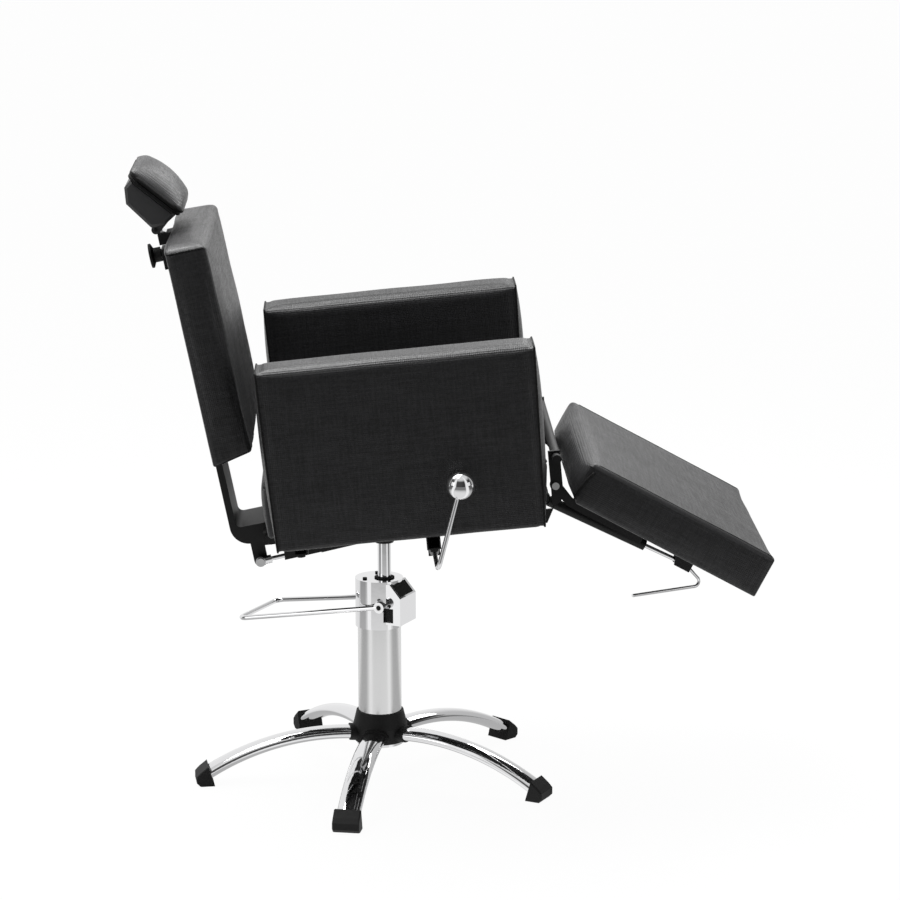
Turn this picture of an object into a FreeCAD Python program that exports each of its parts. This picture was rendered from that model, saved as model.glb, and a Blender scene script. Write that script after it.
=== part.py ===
"""Reclining tattoo chair on a hydraulic pump, in millimetres.

+X is the way the sitter faces, +Z is up, and the origin lies on the floor at the centre of the star.
"""
import FreeCAD, Part
import math
import os
from types import SimpleNamespace

import Sketcher

Vector = FreeCAD.Vector
Rotation = FreeCAD.Rotation
Placement = FreeCAD.Placement

LEG_COUNT = 5

# Driving sizes: name and millimetres, or degrees for a turn or a tilt
SIZES = (
    # shared gaps and overruns
    ("soft_gap", 0.4), ("running_gap", 0.05), ("overrun", 4.0),
    # star base
    ("star_turn", 100.95), ("leg_reach", 318.0), ("leg_apex_reach", 82.5), ("leg_drop", 67.4225),
    ("leg_apex_height", 84.2), ("leg_half_width", 21.5), ("leg_half_height", 11.5),
    ("leg_start", 38.0),
    ("hub_radius", 42.0), ("hub_bottom", 62.0), ("hub_floor", 4.0), ("hub_height", 44.0),
    ("cap_overlap", 15.0), ("cap_length", 32.5), ("cap_width", 48.0), ("cap_height", 37.0),
    ("cap_nose_height", 18.0), ("cap_mouth_slope", 11.0), ("cap_brow", 25.5),
    ("cap_nose_slope", 7.5), ("cap_corner", 6.0),
    ("cover_bottom", 68.0), ("cover_top", 123.0), ("cover_top_radius", 42.5),
    ("cover_waist_height", 96.0), ("cover_wide_radius", 49.0), ("cover_low_radius", 46.5),
    ("cover_shoulder_height", 110.0), ("cover_wall", 3.0), ("collar_reach", 56.0),
    # pump
    ("column_radius", 39.0), ("column_wall", 3.0), ("head_foot_drop", 45.0),
    ("head_radius", 43.0), ("head_rise", 43.0),
    ("pump_turn", 28.0), ("ram_offset", 11.0), ("ram_radius", 12.0), ("ram_bottom", 152.0),
    ("ram_top", 490.0), ("piston_radius", 17.0), ("piston_height", 14.0), ("barrel_radius", 20.0),
    ("barrel_bottom", 80.0), ("wiper_radius", 18.0), ("wiper_height", 5.0), ("wiper_sink", 3.0),
    ("housing_reach", 58.0), ("housing_half_width", 31.0), ("housing_drop", 35.0),
    ("housing_rise", 39.0), ("housing_face_rise", 15.0), ("housing_shoulder", 37.0),
    ("window_margin", 6.0), ("window_depth", 3.0),
    ("slot_drop", 31.0), ("slot_upper_drop", 5.0), ("slot_inner", 26.0), ("slot_outer", 44.0),
    ("slot_depth", 4.0),
    ("screw_radius", 4.0), ("screw_height", 2.5), ("screw_back", 16.0), ("screw_side", 24.0),
    ("axle_reach", 25.0), ("axle_height", 327.0), ("axle_radius", 6.0), ("axle_half_length", 51.0),
    ("axle_flat", 2.2), ("axle_flat_half_length", 17.0),
    ("boss_radius", 10.0), ("boss_length", 9.5),
    ("pedal_rod_radius", 4.5), ("pedal_reach", 275.0), ("pedal_half_width", 72.0),
    ("pedal_drop", 46.0), ("pedal_bend", 14.0),
    # tilted seat frame
    ("seat_height", 600.0), ("seat_tilt", 5.2),
    ("rail_offset", 90.0), ("rail_width", 25.0), ("rail_rear", -214.0), ("rail_front", 268.0),
    ("long_rail_height", 22.0), ("cross_rail_height", 24.0), ("cross_rail_width", 24.0),
    ("tube_wall", 2.5),
    ("cross_half_length", 340.0), ("rear_cross_half_length", 290.0),
    ("rear_cross_place", -144.0), ("middle_cross_place", 82.0),
    ("front_cross_place", 249.0), ("front_cross_half_length", 225.0),
    ("board_thickness", 12.0), ("board_bottom", -79.0), ("board_rear", -190.0), ("board_front", 284.0),
    ("board_half_width", 256.0),
    ("cushion_thickness", 92.0), ("cushion_rear", -198.0), ("cushion_front", 289.0),
    ("cushion_half_width", 260.0), ("cushion_corner", 12.0),
    ("mount_half_length", 57.0), ("notch_rear", -33.0), ("notch_half_width", 13.0),
    ("mount_half_width", 110.0), ("mount_thickness", 6.0),
    ("socket_radius", 17.0), ("socket_bottom", 436.0), ("socket_top", 500.0),
    # arms
    ("arm_rear", -188.0), ("arm_front", 279.0), ("arm_top", 229.0), ("arm_inner", 263.0),
    ("arm_thickness", 91.0), ("arm_corner", 9.0),
    ("bolt_radius", 4.0), ("bolt_head_radius", 7.0), ("bolt_head_height", 5.0), ("bolt_grip", 22.0),
    ("rear_bolt_place", 279.0), ("bolt_place", 331.0),
    # leg rest uprights, tube and pivot
    ("upright_thickness", 6.0), ("upright_rear", 291.5), ("upright_front", 312.0),
    ("upright_top", 22.0), ("upright_foot_rear", 237.0),
    ("upright_foot_front", 280.0), ("upright_heel_place", 294.0), ("upright_heel_height", -76.0),
    ("upright_toe_place", 307.0), ("upright_toe_height", -67.0), ("upright_chin", -50.0),
    ("leg_pivot_place", 299.7), ("leg_pivot_height", -39.3), ("leg_pin_radius", 5.0),
    ("leg_pin_head_radius", 6.5), ("leg_pin_head", 4.0),
    ("front_tube_place", 305.0), ("front_tube_height", 10.5), ("front_tube_radius", 8.0),
    ("front_tube_half_length", 250.0),
    # leg rest panel, in its own slope
    ("rest_tilt", 28.64), ("rest_corner_ahead", 58.6), ("rest_corner_above", 46.0),
    ("rest_length", 360.0), ("rest_cushion_thickness", 63.5), ("rest_half_width", 268.8),
    ("rest_board_thickness", 12.0), ("rest_board_inset", 8.0), ("rest_corner", 10.0),
    ("rest_plate_thickness", 6.0), ("rest_plate_gap", 1.0), ("rest_plate_length", 150.0),
    ("rest_plate_flange", 16.0), ("rest_knuckle_radius", 9.5), ("rest_bar_place", 120.0),
    ("rest_bar_height", 14.0), ("rest_bar_width", 24.0),
    # leg rest strut
    ("strut_side", 60.0), ("strut_end_ahead", 238.0), ("strut_end_below", 183.0),
    ("strut_seat_place", 283.0), ("strut_seat_height", -100.0), ("strut_radius", 9.5),
    ("strut_cylinder_length", 190.0), ("strut_rod_radius", 4.0), ("strut_rod_sink", 70.0),
    ("eye_bore", 9.3), ("eye_wall", 3.5), ("eye_thickness", 7.0), ("pivot_pin_radius", 4.0),
    ("ear_thickness", 5.0), ("ear_half_gap", 7.0), ("ear_half_height", 13.0), ("ear_cheek", 9.0),
    ("release_half_length", 15.0), ("release_height", 20.0), ("release_wall", 5.0),
    ("release_half_gap", 9.0), ("release_eye_radius", 8.0),
    ("wire_radius", 3.0), ("wire_ahead", 43.0), ("wire_below", 51.0), ("wire_back", 135.0),
    ("wire_half_width", 90.0), ("wire_outset", 20.0), ("wire_bend", 9.0), ("wire_lug_gap", 0.5),
    ("wire_eye_thickness", 8.0),
    # recline pivot and back bracket, in the leaning frame of the back
    ("recline_place", -201.0), ("recline_pivot_height", -114.0), ("back_tilt", 11.43),
    ("recline_pin_radius", 6.0), ("recline_pin_head", 5.0), ("recline_pin_head_radius", 10.0),
    ("bracket_half_width", 65.0), ("bracket_rear", -70.0), ("bracket_thickness", 12.0),
    ("bracket_drop", 150.0), ("bracket_shelf_top", 22.0), ("bracket_shelf_bottom", -11.0),
    ("bracket_knuckle", 17.0), ("bracket_outer_bend", 34.0), ("bracket_inner_bend", 10.0),
    ("bracket_flange", 7.0), ("bracket_shelf_skin", 6.0), ("bracket_pocket_front", -22.0),
    ("lug_front", -19.0), ("lug_width", 24.0), ("lug_end", -51.4), ("lug_thickness", 10.0),
    ("back_bottom", 174.0), ("back_length", 376.0), ("back_half_width", 245.4), ("back_face", 11.0),
    ("back_cushion_thickness", 56.3), ("back_board_thickness", 12.0), ("back_board_inset", 8.0),
    ("back_corner", 12.0), ("back_bottom_rise", 15.0),
    # headrest guide, stem and knob
    ("guide_half_width", 26.0), ("guide_plate_thickness", 4.0), ("guide_drop", 58.0),
    ("guide_rise", 5.0), ("guide_reach", 26.0), ("guide_upper_drop", 14.0),
    ("guide_lower_drop", 21.5),
    ("stem_half_width", 16.0), ("stem_thickness", 6.0), ("stem_rear", -74.0), ("stem_drop", 140.0),
    ("tilt_place", -84.2), ("tilt_rise", 13.6), ("stem_knuckle_radius", 7.0),
    ("stem_neck", 8.0), ("tilt_pin_radius", 3.0), ("tilt_pin_half_length", 24.0),
    ("knob_drop", 32.5), ("knob_rear", -106.0), ("knob_front", -86.0), ("knob_radius", 21.5),
    ("knob_waist", 13.0), ("knob_rim", 4.0), ("knob_stud_radius", 4.0),
    # headrest, in its own slope
    ("head_tilt", 38.7), ("head_half_width", 95.0), ("pad_rear", -98.0), ("pad_length", 116.0),
    ("pad_base", 52.3), ("pad_depth", 37.0), ("pad_corner", 10.0), ("shell_half_width", 88.0),
    ("shell_rear", -85.0), ("shell_length", 91.5), ("shell_depth", 41.0), ("shell_fillet", 5.0),
    ("shell_ear_half_gap", 17.0), ("shell_ear_thickness", 5.0), ("shell_ear_radius", 8.0),
    # recline gas spring and its channel
    ("spring_side", 40.0), ("spring_pin_place", -31.0), ("spring_pin_height", -51.4),
    ("spring_seat_place", 71.0), ("spring_seat_height", -128.0), ("spring_radius", 10.0),
    ("spring_cylinder_length", 180.0), ("spring_rod_radius", 4.0), ("spring_rod_sink", 60.0),
    ("ball_radius", 7.5), ("ball_stud_radius", 4.0), ("socket_outer_radius", 9.0),
    ("socket_length", 20.0), ("socket_neck", 16.0),
    ("channel_rear", -182.6), ("channel_far_rear", -154.0), ("channel_front", -62.0),
    ("channel_height", 54.5), ("channel_half_width", 17.5), ("channel_wall", 3.0),
    ("channel_slope_share", 0.252),
    # recline lever
    ("lever_place", 81.6), ("lever_height", -111.6), ("lever_shaft_radius", 6.0),
    ("lever_shaft_inner", 60.0), ("lever_boss_gap", 2.0), ("lever_boss_radius", 8.2),
    ("lever_boss_length", 16.0), ("lever_bracket_place", 300.0), ("lever_bracket_width", 20.0),
    ("lever_bracket_drop", 12.0), ("lever_rod_radius", 4.0), ("lever_rod_outset", 70.0),
    ("lever_low_ahead", 3.0), ("lever_low_drop", 16.0), ("lever_ball_ahead", 54.0),
    ("lever_ball_above", 126.0), ("lever_ball_radius", 25.0), ("lever_bend", 12.0),
    ("lever_rod_sink", 8.0),
)

doc = FreeCAD.newDocument("tattoo_chair")
sheet = doc.addObject("Spreadsheet::Sheet", "Sizes")


class Size:
    """A named size or a sum of named sizes, kept both as a number and as the sheet's formula."""

    def __init__(self, text, value):
        self.text = text
        self.value = value

    def __add__(self, other):
        other = as_size(other)
        return Size("(%s + %s)" % (self.text, other.text), self.value + other.value)

    def __sub__(self, other):
        other = as_size(other)
        return Size("(%s - %s)" % (self.text, other.text), self.value - other.value)

    def __mul__(self, other):
        other = as_size(other)
        return Size("(%s * %s)" % (self.text, other.text), self.value * other.value)

    def __truediv__(self, other):
        other = as_size(other)
        return Size("(%s / %s)" % (self.text, other.text), self.value / other.value)

    def __radd__(self, other):
        return as_size(other) + self

    def __rsub__(self, other):
        return as_size(other) - self

    def __rmul__(self, other):
        return as_size(other) * self

    def __neg__(self):
        return Size("(0 - %s)" % self.text, -self.value)


def as_size(value):
    """Return a size for a size or for a plain number."""
    if isinstance(value, Size):
        return value
    return Size("(%r)" % float(value), float(value))


def cosine(angle):
    """Return the cosine of an angle given in degrees."""
    return Size("cos(%s)" % angle.text, math.cos(math.radians(angle.value)))


def sine(angle):
    """Return the sine of an angle given in degrees."""
    return Size("sin(%s)" % angle.text, math.sin(math.radians(angle.value)))


def fill_sheet():
    """Write every driving size into the sheet and return them by name."""
    found = {}
    for row, (name, value) in enumerate(SIZES, start=1):
        sheet.set("A%d" % row, name)
        sheet.set("B%d" % row, str(value))
        sheet.setAlias("B%d" % row, name)
        found[name] = Size("Sizes.%s" % name, value)
    doc.recompute()
    return SimpleNamespace(**found)


D = fill_sheet()
NODES = []


def bind(item, prop, size):
    """Tie one property of an object to a size."""
    size = as_size(size)
    setattr(item, prop, size.value)
    item.setExpression(prop, size.text)


class Frame:
    """A place in the chair's X-Z plane, leaning back (towards -X) or dropping (towards -Z)."""

    def __init__(self, x, z, angle, back=True):
        self.x = as_size(x)
        self.z = as_size(z)
        self.angle = angle
        self.sign = 1 if back else -1

    def point(self, ahead, up):
        """Return the chair's own X and Z of a place given along this frame."""
        ahead = as_size(ahead)
        up = as_size(up)
        cos = cosine(self.angle)
        sin = sine(self.angle) * self.sign
        return self.x + ahead * cos - up * sin, self.z + ahead * sin + up * cos

    def place(self, item):
        """Put an object whose shape is drawn in this frame where the frame is."""
        axis = Vector(0, -self.sign, 0)
        base = Vector(self.x.value, 0, self.z.value)
        item.Placement = Placement(base, Rotation(axis, self.angle.value))
        item.setExpression("Placement.Base.x", self.x.text)
        item.setExpression("Placement.Base.z", self.z.text)
        item.setExpression("Placement.Rotation.Angle", self.angle.text)

    def solid_place(self):
        """Return the frame's placement for a shape that is made directly."""
        axis = Vector(0, -self.sign, 0)
        return Placement(Vector(self.x.value, 0, self.z.value), Rotation(axis, self.angle.value))


SEAT = Frame(0, D.seat_height, D.seat_tilt)
BACK = Frame(*SEAT.point(D.recline_place, D.recline_pivot_height), D.back_tilt)
LEG_PIVOT = SEAT.point(D.leg_pivot_place, D.leg_pivot_height)
REST = Frame(LEG_PIVOT[0] + D.rest_corner_ahead, LEG_PIVOT[1] + D.rest_corner_above, D.rest_tilt, False)
BACK_TOP = D.back_bottom + D.back_length
TILT_HEIGHT = BACK_TOP + D.tilt_rise
TILT_POINT = BACK.point(D.tilt_place, TILT_HEIGHT)
HEAD = Frame(TILT_POINT[0], TILT_POINT[1], D.head_tilt, False)


def node(item, label):
    """Name an object as one sub-part of the chair."""
    item.Label = label
    NODES.append(item)
    return item


def new_body(label, frame=None):
    """Start a body, drawn in the chair's own frame or in a leaning one."""
    body = doc.addObject("PartDesign::Body", label)
    if frame is not None:
        frame.place(body)
    return body


def turned_body(label):
    """Start a body whose X axis points along the pump's housing."""
    body = doc.addObject("PartDesign::Body", label)
    body.Placement = Placement(Vector(), Rotation(Vector(0, 0, -1), D.pump_turn.value))
    body.setExpression("Placement.Rotation.Angle", D.pump_turn.text)
    return body


def origin_plane(body, role):
    """Return one of the body's own origin planes."""
    return [plane for plane in body.Origin.OriginFeatures if plane.Role == role][0]


def fix_point(made, notes, geometry, end, x, y):
    """Note the two distances that hold a sketch point."""
    for kind, size in (("DistanceX", as_size(x)), ("DistanceY", as_size(y))):
        notes.append((len(made), size))
        made.append(Sketcher.Constraint(kind, -1, 1, geometry, end, size.value))


def draw_sketch(body, name, role, offset, loops):
    """Draw closed loops: a list of corners is a polygon, and a tuple is a circle."""
    sketch = body.newObject("Sketcher::SketchObject", name)
    sketch.AttachmentSupport = [(origin_plane(body, role), "")]
    sketch.MapMode = "FlatFace"
    offset = as_size(offset)
    sketch.AttachmentOffset = Placement(Vector(0, 0, offset.value), Rotation())
    sketch.setExpression("AttachmentOffset.Base.z", offset.text)
    made = []
    notes = []
    for loop in loops:
        first = sketch.GeometryCount
        if isinstance(loop, tuple):
            x, y, radius = (as_size(part) for part in loop)
            sketch.addGeometry(Part.Circle(Vector(x.value, y.value, 0), Vector(0, 0, 1), radius.value))
            fix_point(made, notes, first, 3, x, y)
            notes.append((len(made), radius))
            made.append(Sketcher.Constraint("Radius", first, radius.value))
            continue
        count = len(loop)
        corners = [(as_size(x), as_size(y)) for x, y in loop]
        flat = [Vector(x.value, y.value, 0) for x, y in corners]
        for index in range(count):
            sketch.addGeometry(Part.LineSegment(flat[index], flat[(index + 1) % count]))
        for index in range(count):
            following = first + (index + 1) % count
            made.append(Sketcher.Constraint("Coincident", first + index, 2, following, 1))
        for index, (x, y) in enumerate(corners):
            fix_point(made, notes, first + index, 1, x, y)
    sketch.addConstraint(made)
    for index, size in notes:
        if "Sizes" in size.text:
            sketch.setExpression("Constraints[%d]" % index, size.text)
    return sketch


def prism(body, role, low, high, loops, name="Block"):
    """Add a straight block between two levels along the plane's axis."""
    low = as_size(low)
    high = as_size(high)
    offset = -high if role == "XZ_Plane" else low
    sketch = draw_sketch(body, name + "Sketch", role, offset, loops)
    feature = body.newObject("PartDesign::Pad", name)
    feature.Profile = sketch
    bind(feature, "Length", high - low)
    return feature


def cut(body, role, low, high, loops, name="Cut"):
    """Cut a straight block out between two levels along the plane's axis."""
    low = as_size(low)
    high = as_size(high)
    offset = -high if role == "XZ_Plane" else low
    sketch = draw_sketch(body, name + "Sketch", role, offset, loops)
    feature = body.newObject("PartDesign::Pocket", name)
    feature.Profile = sketch
    feature.Reversed = True
    bind(feature, "Length", high - low)
    return feature


def turned(body, axis, loops, name="Turned"):
    """Turn a profile drawn on the X-Z plane about the plane's vertical or level axis."""
    sketch = draw_sketch(body, name + "Sketch", "XZ_Plane", 0, loops)
    feature = body.newObject("PartDesign::Revolution", name)
    feature.Profile = sketch
    feature.ReferenceAxis = (sketch, [axis])
    feature.Angle = 360.0
    return feature


def soften(body, feature, radius, test):
    """Round the edges that pass a test."""
    doc.recompute()
    names = ["Edge%d" % (index + 1) for index, edge in enumerate(feature.Shape.Edges) if test(edge)]
    rounded = body.newObject("PartDesign::Fillet", "Rounded")
    rounded.Base = (feature, names)
    bind(rounded, "Radius", radius)
    return rounded


def runs_along(edge, axis):
    """Tell whether an edge is straight and lies along an axis."""
    if len(edge.Vertexes) < 2:
        return False
    span = edge.Vertexes[1].Point - edge.Vertexes[0].Point
    straight = abs(edge.Length - span.Length) < edge.Length / 1e4
    return straight and span.normalize().cross(axis).Length < 1e-4


def rectangle(x0, y0, x1, y1):
    """Return the corners of a rectangle."""
    return [(x0, y0), (x1, y0), (x1, y1), (x0, y1)]


def slab(label, frame, x0, x1, y0, y1, z0, z1, corner=None):
    """Make a straight slab in a frame, with rounded edges where a corner is given."""
    body = new_body(label, frame)
    feature = prism(body, "XZ_Plane", y0, y1, [rectangle(x0, z0, x1, z1)])
    if corner is not None:
        soften(body, feature, corner, lambda edge: True)
    return node(body, label)


def box_tube(label, frame, x0, x1, y0, y1, z0, z1, role):
    """Make a straight square tube that is open at both ends."""
    body = new_body(label, frame)
    wall = D.tube_wall
    if role == "XZ_Plane":
        outer = rectangle(x0, z0, x1, z1)
        inner = rectangle(x0 + wall, z0 + wall, x1 - wall, z1 - wall)
        prism(body, role, y0, y1, [outer, inner])
    else:
        outer = rectangle(y0, z0, y1, z1)
        inner = rectangle(y0 + wall, z0 + wall, y1 - wall, z1 - wall)
        prism(body, role, x0, x1, [outer, inner])
    return node(body, label)


def cylinder(name, radius, bottom, top, x=0, y=0):
    """Make an upright cylinder of the chair's own frame."""
    item = doc.addObject("Part::Cylinder", name)
    bind(item, "Radius", radius)
    bind(item, "Height", as_size(top) - bottom)
    x = as_size(x)
    y = as_size(y)
    bottom = as_size(bottom)
    item.Placement = Placement(Vector(x.value, y.value, bottom.value), Rotation())
    item.setExpression("Placement.Base.x", x.text)
    item.setExpression("Placement.Base.y", y.text)
    item.setExpression("Placement.Base.z", bottom.text)
    return item


def subtract(name, base, tools):
    """Cut tools out of a base."""
    for index, tool in enumerate(tools):
        item = doc.addObject("Part::Cut", "%sCut%d" % (name, index))
        item.Base = base
        item.Tool = tool
        base = item
    return base


def join(name, parts):
    """Join touching parts into one solid."""
    item = doc.addObject("Part::MultiFuse", name)
    item.Shapes = parts
    return item


def bent_rod(points, radius, bend):
    """Return a round bar that follows straight runs joined by tangent arcs."""
    edges = []
    start = points[0]
    for before, corner, after in zip(points, points[1:], points[2:]):
        inward = (before - corner).normalize()
        outward = (after - corner).normalize()
        half = inward.getAngle(outward) / 2
        reach = bend / math.tan(half)
        first = corner + inward * reach
        last = corner + outward * reach
        middle_line = (inward + outward).normalize()
        middle = corner + middle_line * (bend / math.sin(half) - bend)
        edges.append(Part.LineSegment(start, first).toShape())
        edges.append(Part.Arc(first, middle, last).toShape())
        start = last
    edges.append(Part.LineSegment(start, points[-1]).toShape())
    spine = Part.Wire(edges)
    ring = Part.Wire([Part.Circle(points[0], points[1] - points[0], radius).toShape()])
    return spine.makePipeShell([ring], True, True)


def made_shape(label, shape, frame=None):
    """Keep a directly made shape as a sub-part."""
    item = doc.addObject("Part::Feature", label)
    item.Shape = shape
    if frame is not None:
        item.Placement = frame.solid_place()
    return item


# star base

LEG_RUN = D.leg_reach - D.leg_apex_reach
LEG_RADIUS = Size("((%s ^ 2 + %s ^ 2) / (2 * %s))" % (LEG_RUN.text, D.leg_drop.text, D.leg_drop.text),
                  (LEG_RUN.value ** 2 + D.leg_drop.value ** 2) / (2 * D.leg_drop.value))
CAP_INNER = D.leg_reach - D.cap_overlap


def leg_sweep(name, half_width, half_height, reach):
    """Return an arched oval tube as a solid, drawn along X with its arc's centre at the origin."""
    oval = doc.addObject("Part::Ellipse", name + "Oval")
    bind(oval, "MajorRadius", half_width)
    bind(oval, "MinorRadius", half_height)
    lean = math.asin((D.leg_apex_reach.value - D.leg_start.value) / LEG_RADIUS.value)
    drop = "sqrt(%s ^ 2 - (%s - %s) ^ 2)" % (LEG_RADIUS.text, D.leg_apex_reach.text, D.leg_start.text)
    upright = Rotation(Vector(0, 0, 1), math.degrees(lean)).multiply(Rotation(Vector(0, 1, 0), 90))
    oval.Placement = Placement(Vector(D.leg_start.value - D.leg_apex_reach.value,
                                      LEG_RADIUS.value * math.cos(lean), 0), upright)
    oval.setExpression("Placement.Base.x", "%s - %s" % (D.leg_start.text, D.leg_apex_reach.text))
    oval.setExpression("Placement.Base.y", drop)
    arc = doc.addObject("Part::Circle", name + "Arc")
    bind(arc, "Radius", LEG_RADIUS)
    turn = Size(
        "(90 deg - asin((%s - %s) / %s))" % (reach.text, D.leg_apex_reach.text, LEG_RADIUS.text),
        90 - math.degrees(math.asin((reach.value - D.leg_apex_reach.value) / LEG_RADIUS.value)),
    )
    bind(arc, "Angle1", turn)
    first = Size("asin((%s - %s) / %s)" % (D.leg_apex_reach.text, D.leg_start.text, LEG_RADIUS.text),
                 math.degrees(lean))
    bind(arc, "Angle2", Size("(90 deg + %s)" % first.text, 90 + first.value))
    sweep = doc.addObject("Part::Sweep", name)
    sweep.Sections = [oval]
    sweep.Spine = (arc, ["Edge1"])
    sweep.Solid = True
    sweep.Frenet = False
    return sweep


def stand_leg(item, index):
    """Stand a leg drawn by leg_sweep on its own bearing of the star."""
    bearing = index * 360 / LEG_COUNT - D.star_turn.value
    turn = Rotation(Vector(0, 0, 1), bearing).multiply(Rotation(Vector(1, 0, 0), 90))
    drop = D.leg_apex_height.value - LEG_RADIUS.value
    reach = D.leg_apex_reach.value
    place = turn.multVec(Vector(reach, 0, 0)) + Vector(0, 0, drop)
    item.Placement = Placement(place, turn)
    item.setExpression("Placement.Base.x", "cos(%r - Sizes.star_turn) * Sizes.leg_apex_reach"
                       % (index * 360 / LEG_COUNT))
    item.setExpression("Placement.Base.y", "sin(%r - Sizes.star_turn) * Sizes.leg_apex_reach"
                       % (index * 360 / LEG_COUNT))
    item.setExpression("Placement.Base.z", "%s - %s" % (D.leg_apex_height.text, LEG_RADIUS.text))
    return item


def make_star():
    """Make the hub, the five legs, their caps and the hub cover."""
    hub_top = D.hub_bottom + D.hub_height
    hub = subtract("Hub", cylinder("HubOuter", D.hub_radius, D.hub_bottom, hub_top),
                   [cylinder("HubBore", D.column_radius, D.hub_bottom + D.hub_floor,
                             hub_top + D.overrun)])
    node(hub, "star_hub")
    caps = []
    legs_for_cover = []
    collars = []
    for index in range(LEG_COUNT):
        leg = stand_leg(leg_sweep("Leg%d" % index, D.leg_half_width, D.leg_half_height, D.leg_reach), index)
        core = cylinder("LegCore%d" % index, D.hub_radius, D.hub_bottom, hub_top + D.overrun)
        node(subtract("LegEnd%d" % index, leg, [core]), "star_leg_%d" % (index + 1))
        caps.append(make_cap(index))
        legs_for_cover.append(
            stand_leg(leg_sweep("Mouth%d" % index, D.leg_half_width, D.leg_half_height, D.leg_reach), index))
        collars.append(
            stand_leg(leg_sweep("Collar%d" % index, D.leg_half_width + D.cover_wall,
                                D.leg_half_height + D.cover_wall, D.collar_reach), index))
    group = doc.addObject("Part::Compound", "LegCaps")
    group.Links = caps
    node(group, "leg_caps")
    make_cover(hub_top, collars, legs_for_cover)


def make_cap(index):
    """Make one moulded cap, hollowed for the end of its leg."""
    body = doc.addObject("PartDesign::Body", "CapBody%d" % index)
    outer = CAP_INNER + D.cap_length
    nose = outer - D.cap_nose_slope
    outline = [(CAP_INNER, 0), (outer - D.cap_corner, 0), (outer, D.cap_corner),
               (outer, D.cap_nose_height), (nose, D.cap_brow + D.soft_gap),
               (CAP_INNER + D.cap_mouth_slope, D.cap_height)]
    feature = prism(body, "XZ_Plane", -D.cap_width / 2, D.cap_width / 2, [outline], "Cap")
    across = Vector(0, 1, 0)
    soften(body, feature, D.cap_corner / 2, lambda edge: not runs_along(edge, across)
           and edge.CenterOfMass.z > 0
           and edge.CenterOfMass.x > (CAP_INNER + D.cap_mouth_slope).value)
    bearing = index * 360 / LEG_COUNT - D.star_turn.value
    body.Placement = Placement(Vector(), Rotation(Vector(0, 0, 1), bearing))
    leg = stand_leg(leg_sweep("Tip%d" % index, D.leg_half_width, D.leg_half_height, D.leg_reach), index)
    return subtract("CapHollow%d" % index, body, [leg])


def make_cover(hub_top, collars, legs):
    """Make the black hub cover with a collar over each leg."""
    bore = D.column_radius + D.soft_gap
    inner = D.hub_radius + D.soft_gap
    body = new_body("CoverBody")
    profile = [(inner, D.cover_bottom), (D.cover_low_radius, D.cover_bottom),
               (D.cover_wide_radius, D.cover_waist_height), (D.cover_top_radius, D.cover_top),
               (bore, D.cover_top), (bore, D.cover_shoulder_height), (inner, D.cover_shoulder_height)]
    turned(body, "V_Axis", [profile], "Cover")
    whole = join("CoverWhole", [body] + collars)
    hollow = cylinder("CoverHollow", inner, D.hub_bottom - D.overrun, D.cover_shoulder_height)
    node(subtract("Cover", whole, [hollow] + legs), "hub_cover")


# hydraulic pump

RAM_X = D.ram_offset * cosine(D.pump_turn)
RAM_Y = -D.ram_offset * sine(D.pump_turn)
COLUMN_TOP = D.axle_height - D.head_foot_drop
HEAD_TOP = D.axle_height + D.head_rise


def make_pump():
    """Make the column, the head with its housing, and what they hold."""
    floor_level = D.hub_bottom + D.hub_floor
    inner_radius = D.column_radius - D.column_wall
    column = subtract("Column", cylinder("ColumnOuter", D.column_radius, floor_level, COLUMN_TOP),
                      [cylinder("ColumnBore", inner_radius, floor_level + D.hub_floor,
                                COLUMN_TOP + D.overrun)])
    node(column, "pump_column")
    barrel_bore = D.piston_radius + D.running_gap
    barrel_bottom = floor_level + D.hub_floor
    barrel = subtract("Barrel", cylinder("BarrelOuter", D.barrel_radius, barrel_bottom, COLUMN_TOP,
                                         RAM_X, RAM_Y),
                      [cylinder("BarrelBore", barrel_bore, barrel_bottom + D.hub_floor,
                                COLUMN_TOP + D.overrun, RAM_X, RAM_Y)])
    node(barrel, "pump_barrel")
    make_head()
    ram_top = D.ram_top
    node(cylinder("Ram", D.ram_radius, D.ram_bottom, ram_top, RAM_X, RAM_Y), "lift_ram")
    piston_bottom = D.ram_bottom - D.piston_height
    node(cylinder("Piston", D.piston_radius, piston_bottom, D.ram_bottom, RAM_X, RAM_Y), "ram_piston")
    seal_bottom = HEAD_TOP - D.wiper_sink
    wiper = subtract("Wiper", cylinder("WiperOuter", D.wiper_radius, seal_bottom,
                                       seal_bottom + D.wiper_height, RAM_X, RAM_Y),
                     [cylinder("WiperBore", D.ram_radius + D.running_gap, seal_bottom - D.overrun,
                               seal_bottom + D.wiper_height + D.overrun, RAM_X, RAM_Y)])
    node(wiper, "ram_wiper")


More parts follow.
